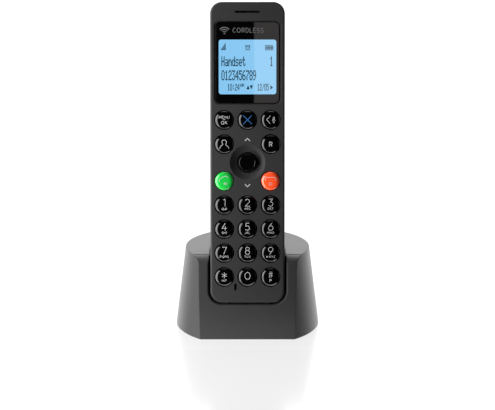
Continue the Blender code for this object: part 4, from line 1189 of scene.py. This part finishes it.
def base_form(inset, bottom, round_radius, edge, fillet, crease=0.0, rows=14, round_rows=20):
    """A bmesh of the base's form, moved inwards by inset, from this height up.

    round_radius rounds the front into the top, edge the cone into the top, and fillet the corners
    between cone and front. The foot gets a chamfer, a little smaller than edge. The top face stands a
    crease above the round, as a fine step.
    """
    top = TOP - inset
    chamfer = edge * 0.6
    angle = math.pi / 2 - LEAN
    reach = round_radius * math.tan(angle / 2)
    tilt = math.tan(LEAN)

    def front_at(z):
        return FRONT_BOTTOM - inset - (z - STAND) * tilt

    def radius_at(z):
        radius = BOTTOM_RADIUS - inset - (z - STAND) * SLOPE
        over = z - (top - edge)
        return radius - (edge - math.sqrt(max(edge**2 - over**2, 0.0)) if over > 0 else 0.0)

    round_start = top - round_radius * (1 - math.cos(angle))
    heights = [(bottom, front_at(bottom) - chamfer, radius_at(bottom) - chamfer)]
    heights += [(bottom + chamfer, front_at(bottom + chamfer), radius_at(bottom + chamfer))]
    start = bottom + edge
    for row in range(rows):
        z = start + (round_start - start) * row / rows
        heights.append((z, front_at(z), radius_at(z)))
    for step in range(round_rows + 1):
        t = angle * (1 - step / round_rows)
        z = top - round_radius * (1 - math.cos(t)) - crease
        heights.append((z, front_at(top) - reach + round_radius * math.sin(t), radius_at(z)))
    if crease:
        heights.append((top, heights[-1][1] - 0.02 * MM, radius_at(top)))
    bm = bmesh.new()
    rings = []
    for z, front, radius in heights:
        outline = cut_circle(radius, front, fillet)
        rings.append([bm.verts.new((x, CONE_Y + y, z)) for x, y in outline])
    skin(bm, rings)
    bmesh.ops.recalc_face_normals(bm, faces=bm.faces[:])
    return bm


# %% [markdown]
# The pocket has the handset's shape with a millimetre to spare, open to the front and to the top. Its
# tool is flared at the flat front, which rounds the rim, and a second, shallow tool rounds the rim of the
# top. Inside, the shell is hollow, with walls round the pocket and a flat bay for the sockets behind.

# %% The pocket's tool and its walls
GAP = 1.1 * MM
POCKET_WALL = 1.6 * MM
POCKET_ABOVE = 60 * MM  # a height up the handset that is clear of the base
NARROWER = 0.6 * MM  # behind its mouth the pocket closes in by this much
face_depth = (Vector((0, shell_low.y, shell_low.z)) - corner).dot(INTO)
pocket_back = back + 0.9 * MM
pocket_x = (case_x[0] - GAP, case_x[1] + GAP)
pocket_outline = rectangle(pocket_x, (-GAP, POCKET_ABOVE), CORNER + GAP, 14)
pocket_layers = flare(face_depth, 1.0 * MM, 8, over=9 * MM)
pocket_layers += [(face_depth + 3.2 * MM, 0.0), (face_depth + 3.9 * MM, NARROWER)]
pocket_layers += [(y, inset + NARROWER) for y, inset in rear_rim(pocket_back, 3.6 * MM, 6)]
pocket = stack(pocket_outline, pocket_layers)
wall_x = (pocket_x[0] - POCKET_WALL, pocket_x[1] + POCKET_WALL)
wall_outline = rectangle(wall_x, (-GAP - POCKET_WALL, POCKET_ABOVE), CORNER + GAP + POCKET_WALL, 6)
walls = stack(wall_outline, [(-9 * MM, 0), (pocket_back + POCKET_WALL, 0)])
for tool in (pocket, walls):
    bmesh.ops.transform(tool, matrix=HANDSET, verts=tool.verts[:])
print("pocket:", round((pocket_x[1] - pocket_x[0]) / MM, 1), "mm wide")

# %% The rim of the top
top_back = HANDSET @ Vector((0, pocket_back, 0))
rim_back = top_back.y + (TOP - top_back.z) * math.tan(LEAN)
FLAT_DOWN = Matrix.Translation((0, 0, TOP)) @ Matrix(((1, 0, 0), (0, 0, 1), (0, -1, 0))).to_4x4()
top_rim_x = (pocket_x[0] + NARROWER, pocket_x[1] - NARROWER)
top_rim = stack(rectangle(top_rim_x, (-60 * MM, rim_back), 3.2 * MM), flare(0.0, 0.35 * MM, 5))
bmesh.ops.transform(top_rim, matrix=FLAT_DOWN, verts=top_rim.verts[:])
print("the pocket's back meets the top at", round(rim_back / MM, 1), "mm")

# %% The hollow inside
UPRIGHT = Matrix(((1, 0, 0), (0, 0, 1), (0, 1, 0))).to_4x4()
BEHIND = 60 * MM  # a distance behind the whole base
SHELL_WALL = 2.0 * MM


def post(radius, x, y, low, high, sides=24):
    """A bmesh: an upright round bar."""
    bm = stack(circle(radius, x, y, sides), [(low, 0), (high, 0)])
    bmesh.ops.transform(bm, matrix=UPRIGHT, verts=bm.verts[:])
    bmesh.ops.recalc_face_normals(bm, faces=bm.faces[:])
    return bm


hollow = base_form(SHELL_WALL, -SHELL_WALL, 4.0 * MM, 0.3 * MM, 0.6 * MM)
bay_wall_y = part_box("line_socket")[1].y - 0.2 * MM
bay_boss = block((-24 * MM, 24 * MM), (bay_wall_y - SHELL_WALL, BEHIND), (4.5 * MM, 27 * MM))
screws = [(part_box(f"base_screw_{n}")[0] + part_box(f"base_screw_{n}")[1]) / 2 for n in (1, 2, 3)]
screw_bosses = together([post(3.2 * MM, screw.x, screw.y, 2.7 * MM, 24 * MM) for screw in screws])
inside = carve(hollow, [("DIFFERENCE", walls), ("DIFFERENCE", bay_boss), ("DIFFERENCE", screw_bosses)])
print("hollow:", len(inside.faces), "faces")

# %% The bay with its windows
sockets = {name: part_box(name) for name in ("line_socket", "power_socket")}
window_y = (bay_wall_y - 4 * MM, bay_wall_y + 2 * MM)
windows = [block((low.x - SLACK, high.x + SLACK), window_y, (low.z - SLACK, high.z + SLACK))
           for low, high in sockets.values()]
button_low, button_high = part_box("page_button")
button_z = (button_low.z + button_high.z) / 2
windows.append(stack(circle(3.3 * MM, 0, button_z, 48), [(y, 0) for y in window_y]))
bay_x, bay_z = (-22 * MM, 22 * MM), (6.5 * MM, 25 * MM)
bay_layers = [(bay_wall_y, SLACK), (bay_wall_y + SLACK, 0), (BEHIND, 0)]
bay = stack(rectangle(bay_x, bay_z, 1.5 * MM), bay_layers)
print("windows in the bay:", len(windows))

# %% Ribs and contact holes on the pocket's floor
RIB_X, RIB_HALF = 12 * MM, 0.8 * MM
plunger = sum(seat("contact_plunger_right"), Vector()) / 2
ribs, contact_holes = [], []
for side in (-1, 1):
    x = side * RIB_X
    ribs.append(block((x - RIB_HALF, x + RIB_HALF), (3 * MM, 19 * MM), (-GAP - 0.6 * MM, -0.3 * MM)))
    contact_holes.append(post(1.6 * MM, side * plunger.x, plunger.y, -5 * MM, 1 * MM, 32))
for tool in ribs + contact_holes:
    bmesh.ops.transform(tool, matrix=HANDSET, verts=tool.verts[:])
print("contacts", round(2 * plunger.x / MM, 1), "mm apart")

# %% Cut the shell
screw_bores = together([post(1.5 * MM, screw.x, screw.y, 0, 11 * MM) for screw in screws])
steps = [
    ("DIFFERENCE", inside),
    ("DIFFERENCE", pocket),
    ("DIFFERENCE", top_rim),
    ("UNION", together(ribs)),
    ("DIFFERENCE", together(contact_holes)),
    ("DIFFERENCE", bay),
    ("DIFFERENCE", together(windows)),
    ("DIFFERENCE", screw_bores),
]
outside = base_form(0.0, STAND, 6.0 * MM, 0.6 * MM, 0.7 * MM, crease=0.2 * MM)
base = piece("base_shell_moulding", carve(outside, steps), BASE, "base", ["base_shell"],
             to_world=None)
print("base shell:", len(base.data.polygons), "faces")

# %% [markdown]
# ## Inside and underneath
# The boards, the cells, the screws and the contacts keep the shapes that they have. They come into view
# when the door is open or the handset is lifted, so they get real surfaces too. Metal is given by its
# metallic value and a fine, uneven roughness, because a plain grey would not reflect the room.

# %% Metals and rubber
STAINS, DRAWING_MARKS, DUST, PORES = 420.0, 5200.0, 350.0, 6000.0  # features in a metre


def metal(name, colour, roughness):
    """Plated or bare metal: fine drawing marks, and stains that dull it in patches."""
    finish = Finish(name, colour, roughness, Metallic=1.0)
    stain = finish.noise(STAINS, 3.0)
    marks = finish.noise(DRAWING_MARKS, 2.0)
    finish.wear(Base_Color=finish.tint(stain, colour, shade(colour, 0.75)))
    finish.wear(Roughness=roughness + stain * 0.12 + marks * 0.06)
    finish.bump(marks, 0.004 * MM, 0.4)
    return finish.material


def rubber(name, colour, roughness=0.75):
    """Moulded rubber or soft plastic: pores in the normal and a bloom of dust."""
    finish = Finish(name, colour, roughness, IOR=1.45)
    dust = finish.noise(DUST, 4.0)
    pores = finish.noise(PORES, 2.0)
    dusty = [channel * 1.25 + 0.01 for channel in colour]
    finish.wear(Base_Color=finish.tint(dust, colour, dusty), Roughness=roughness - 0.1 + dust * 0.2)
    finish.bump(pores, 0.01 * MM, 0.4)
    return finish.material


STEEL = metal("bright_steel", (0.60, 0.60, 0.59), 0.24)
NICKEL = metal("contact_nickel", (0.70, 0.66, 0.58), 0.16)
IRON = metal("cast_weight", (0.23, 0.22, 0.21), 0.52)
FOOT = rubber("foot_rubber", (0.024, 0.024, 0.025))
MAT = rubber("keypad_silicone", (0.42, 0.43, 0.44), 0.55)
SOCKET = rubber("socket_nylon", (0.028, 0.028, 0.030), 0.5)
FRAME = rubber("display_frame_plastic", (0.72, 0.72, 0.70), 0.45)
print("metals and rubbers:", STEEL.name, NICKEL.name, IRON.name, FOOT.name, MAT.name)

# %% [markdown]
# A circuit board is green lacquer over copper tracks, which stand up a little and show lighter. They run
# in parallel lanes that change direction from patch to patch, so two sets of folded lines are mixed by a
# coarse noise. The cells wear a printed film, and the speakers a woven cloth.

# %% Boards, cells and speaker cloth
LANES, CELL_RINGS, THREADS = 1.3 * MM, 21 * MM, 0.5 * MM  # from one to the next


def circuit_board(name):
    """Green solder lacquer with tracks under it."""
    finish = Finish(name, (0.008, 0.10, 0.035), 0.3, IOR=1.5, Coat_Weight=0.4)
    wander = finish.noise(70.0, 0.0) * (5 * MM)
    upright_lanes = (finish.axis("X") + wander).fold(LANES).above(0.6)
    level_lanes = (finish.axis("Z") + wander).fold(LANES).above(0.6)
    patch = finish.noise(110.0, 0.0).above(0.5)
    tracks = upright_lanes * patch + level_lanes * (1 - patch)
    finish.wear(Base_Color=finish.tint(tracks, (0.006, 0.075, 0.026), (0.02, 0.19, 0.06)))
    finish.wear(Roughness=0.26 + finish.noise(500.0) * 0.12)
    finish.bump(tracks, 0.03 * MM, 0.6)
    return finish.material


def cell_film(name, colour, band):
    """Shrunk film on a cell: rings of a second colour, and small wrinkles."""
    finish = Finish(name, colour, 0.3, IOR=1.5)
    rings = finish.axis("Z").fold(CELL_RINGS).above(0.72)
    wrinkles = finish.noise(240.0, 3.0)
    finish.wear(Base_Color=finish.tint(rings, colour, band), Roughness=0.22 + wrinkles * 0.18)
    finish.bump(wrinkles, 0.05 * MM, 0.35)
    return finish.material


def cloth(name):
    """Woven black cloth stretched over a loudspeaker."""
    finish = Finish(name, (0.01, 0.01, 0.01), 0.85)
    warp = finish.axis("X").fold(THREADS)
    weft = finish.axis("Z").fold(THREADS)
    weave = warp * weft
    finish.wear(Base_Color=finish.tint(weave, (0.004, 0.004, 0.004), (0.028, 0.028, 0.03)))
    finish.bump(weave, 0.06 * MM, 0.8)
    return finish.material


BOARD = circuit_board("board_green")
FILM = cell_film("cell_film", (0.10, 0.33, 0.16), (0.62, 0.62, 0.60))
CLOTH = cloth("speaker_cloth")
GUIDE = lacquer("light_guide_acrylic", (0.70, 0.74, 0.78), 0.1)
PAGE = lacquer("page_button_gloss", (0.03, 0.03, 0.032), 0.15)
print("inside:", BOARD.name, FILM.name, CLOTH.name, GUIDE.name, PAGE.name)

# %% Dress the parts that keep their shapes
DRESS = {
    "base_cover": BASE, "base_board": BOARD, "main_board": BOARD, "base_weight": IRON,
    "lcd_frame": FRAME, "light_guide": GUIDE, "keypad_mat": MAT, "page_button": PAGE,
    "line_socket": SOCKET, "power_socket": SOCKET, "earpiece_speaker": CLOTH, "loudspeaker": CLOTH,
    "microphone": STEEL, "nav_switch": STEEL, "cell_link": NICKEL,
}
FAMILIES = {
    "base_screw": STEEL, "case_screw": STEEL, "cell_spring": NICKEL, "charge_pad": NICKEL,
    "contact_plunger": NICKEL, "contact_sleeve": NICKEL, "foot": FOOT, "cell": FILM,
}
REPLACED = {
    "front_cover", "rear_cover", "battery_door", "display_lens", "lcd_panel", "nav_knob",
    "base_shell", *KEYS,
}
dressed = 0
for name, node in frame["nodes"].items():
    if name in REPLACED:
        continue
    material = DRESS.get(name) or FAMILIES[name.rsplit("_", 1)[0]]
    for place in node.material_slots:
        place.material = material
        dressed += 1
print("parts dressed:", dressed, "of", len(frame["nodes"]) - len(REPLACED))

# %% [markdown]
# ## Light and floor
# Black gloss shows what is around it, so the light decides how the phone looks. One big soft light from
# the front would wash the keys grey. Here the room is bright behind and dark in front: the base's top and
# its turning sides catch the bright part, and the keys stay black. The floor and the backdrop are pale
# surfaces that only the camera sees. They don't light the phone, and the floor mirrors it faintly.

# %% Camera
DOWNWARD = 15.196  # degrees below level
camera = bpy.data.objects.new("camera", bpy.data.cameras.new("camera"))
camera.data.lens = 112.6
camera.data.sensor_width = 36.0
camera.location = (0.0, -0.8835, 0.3111)
camera.rotation_euler = (math.radians(90 - DOWNWARD), 0.0, 0.0)
scene.collection.objects.link(camera)
scene.camera = camera
print("camera:", round(camera.data.lens, 1), "mm lens at", [round(c, 3) for c in camera.location])

# %% Floor and backdrop
floor_bm = bmesh.new()
bmesh.ops.create_grid(floor_bm, x_segments=2, y_segments=2, size=12.0)
floor = new_object("floor", floor_bm)
WHITE = (1, 1, 1, 1)
acrylic = Finish("floor_acrylic", (0.10, 0.10, 0.10), 0.2, Emission_Color=WHITE, Emission_Strength=0.77)
acrylic.wear(Roughness=0.17 + acrylic.noise(400.0) * 0.06)
floor.data.materials.append(acrylic.material)

dome_bm = bmesh.new()
bmesh.ops.create_uvsphere(dome_bm, u_segments=48, v_segments=24, radius=14.0)
sky = new_object("backdrop", dome_bm)
backdrop = Finish("backdrop_white", (0, 0, 0), 1.0, Emission_Color=WHITE, Emission_Strength=0.99)
sky.data.materials.append(backdrop.material)
for stage_piece in (floor, sky):
    for kind in ("diffuse", "glossy", "transmission", "shadow", "volume_scatter"):
        setattr(stage_piece, f"visible_{kind}", False)
print("stage:", floor.name, sky.name)

# %% [markdown]
# The room is a world shader. A picture of a studio could be wrapped round the phone, but a few soft steps
# along the direction of the light say the same and stay easy to move: a bright wall behind, a narrow
# screen at the left, a dimmer one at the right, a ceiling, and a glowing table top underneath.

# %% The room
world = bpy.data.worlds.new("studio")
scene.world = world
world.use_nodes = True
room = Nodes(world.node_tree)
x, y, z = (room.axis(name, "Generated") for name in "XYZ")
wall = y.ramp(0.2, 0.8, 0.0, 2.15)
left_screen = (x * -0.98 - y * 0.08 + z * 0.18).ramp(0.86, 0.99, 0.0, 2.4)
ceiling = (z + y * 0.35).ramp(0.9, 1.05, 0.0, 2.6)
table = (x * 0.3 - z * 0.95).ramp(0.86, 1.0, 0.0, 3.0)
right_screen = (x + y * 0.3).ramp(0.85, 1.04, 0.0, 0.85)
light = wall + left_screen + ceiling + table + right_screen + 0.001
room.feed(world.node_tree.nodes["Background"], {"Color": WHITE, "Strength": light})
print("room nodes:", len(world.node_tree.nodes))

# %% [markdown]
# A studio that lights black gloss may give each surface its own lamp and keep it off the others with black
# card. Light linking does the same. A tall box close by, on the left in front, gives the matt plastic its
# fall of tone and shows in no reflection. A weak one on the floor lifts the foot of the base. A large box
# further left reaches only the caps, the knob and the page button, as the caps' crescents, and a low one
# gives the gleam on their lower edges. A strip at the left reaches only the handset's two covers, along
# their left edge. A card far in front reaches only the lens, as a faint reflection.

# %% Soft boxes


def soft_box(name, place, aim, size, power):
    """A rectangular lamp at a place, facing a point."""
    data = bpy.data.lights.new(name, "AREA")
    data.shape = "RECTANGLE"
    data.size, data.size_y = size
    data.energy = power
    lamp = bpy.data.objects.new(name, data)
    lamp.location = place
    lamp.rotation_euler = (Vector(aim) - Vector(place)).to_track_quat("-Z", "Y").to_euler()
    lamp.visible_camera = False
    scene.collection.objects.link(lamp)
    return lamp


def unseen(*lamps):
    """These lamps give light but show neither in gloss nor through the lens."""
    for lamp in lamps:
        lamp.visible_glossy = False
        lamp.visible_transmission = False


def only_for(name, things, *lamps):
    """These lamps light only these things."""
    group = bpy.data.collections.new(name)
    for thing in things:
        group.objects.link(thing)
    for lamp in lamps:
        lamp.light_linking.receiver_collection = group


# %% Lamps
key_light = soft_box("left_box", (-0.14, -0.12, 0.115), (0, -0.02, 0.115), (0.06, 0.33), 0.60)
bounce = soft_box("floor_bounce", (-0.01, -0.052, 0.001), (-0.01, -0.03, 0.012), (0.10, 0.014), 0.006)
crescents = soft_box("gloss_box", (-0.25, -0.12, 0.09), (0, -0.03, 0.10), (0.22, 0.50), 1.9)
gleam = soft_box("gloss_floor", (0, -0.07, -0.10), (0, -0.06, 0.1), (0.30, 0.10), 0.3)
edge_box = soft_box("edge_box", (-0.30, 0.0, 0.12), (0, -0.01, 0.12), (0.05, 0.40), 1.6)
card = soft_box("lens_card", (0.0765, -1.3, 0.44), (0.0765, 0, 0.44), (0.134, 0.24), 0.095)
card.data.color = (1.0, 0.92, 0.91)
unseen(key_light, bounce, edge_box)
glossy = [thing for thing in bpy.data.objects
          if thing.type == "MESH" and thing.name.endswith(("_cap", "_button"))]
only_for("glossy_parts", glossy, crescents, gleam)
only_for("case_parts", (front, rear), edge_box)
only_for("lens_only", (lens,), card)
print("the gloss boxes light", len(glossy), "pieces")
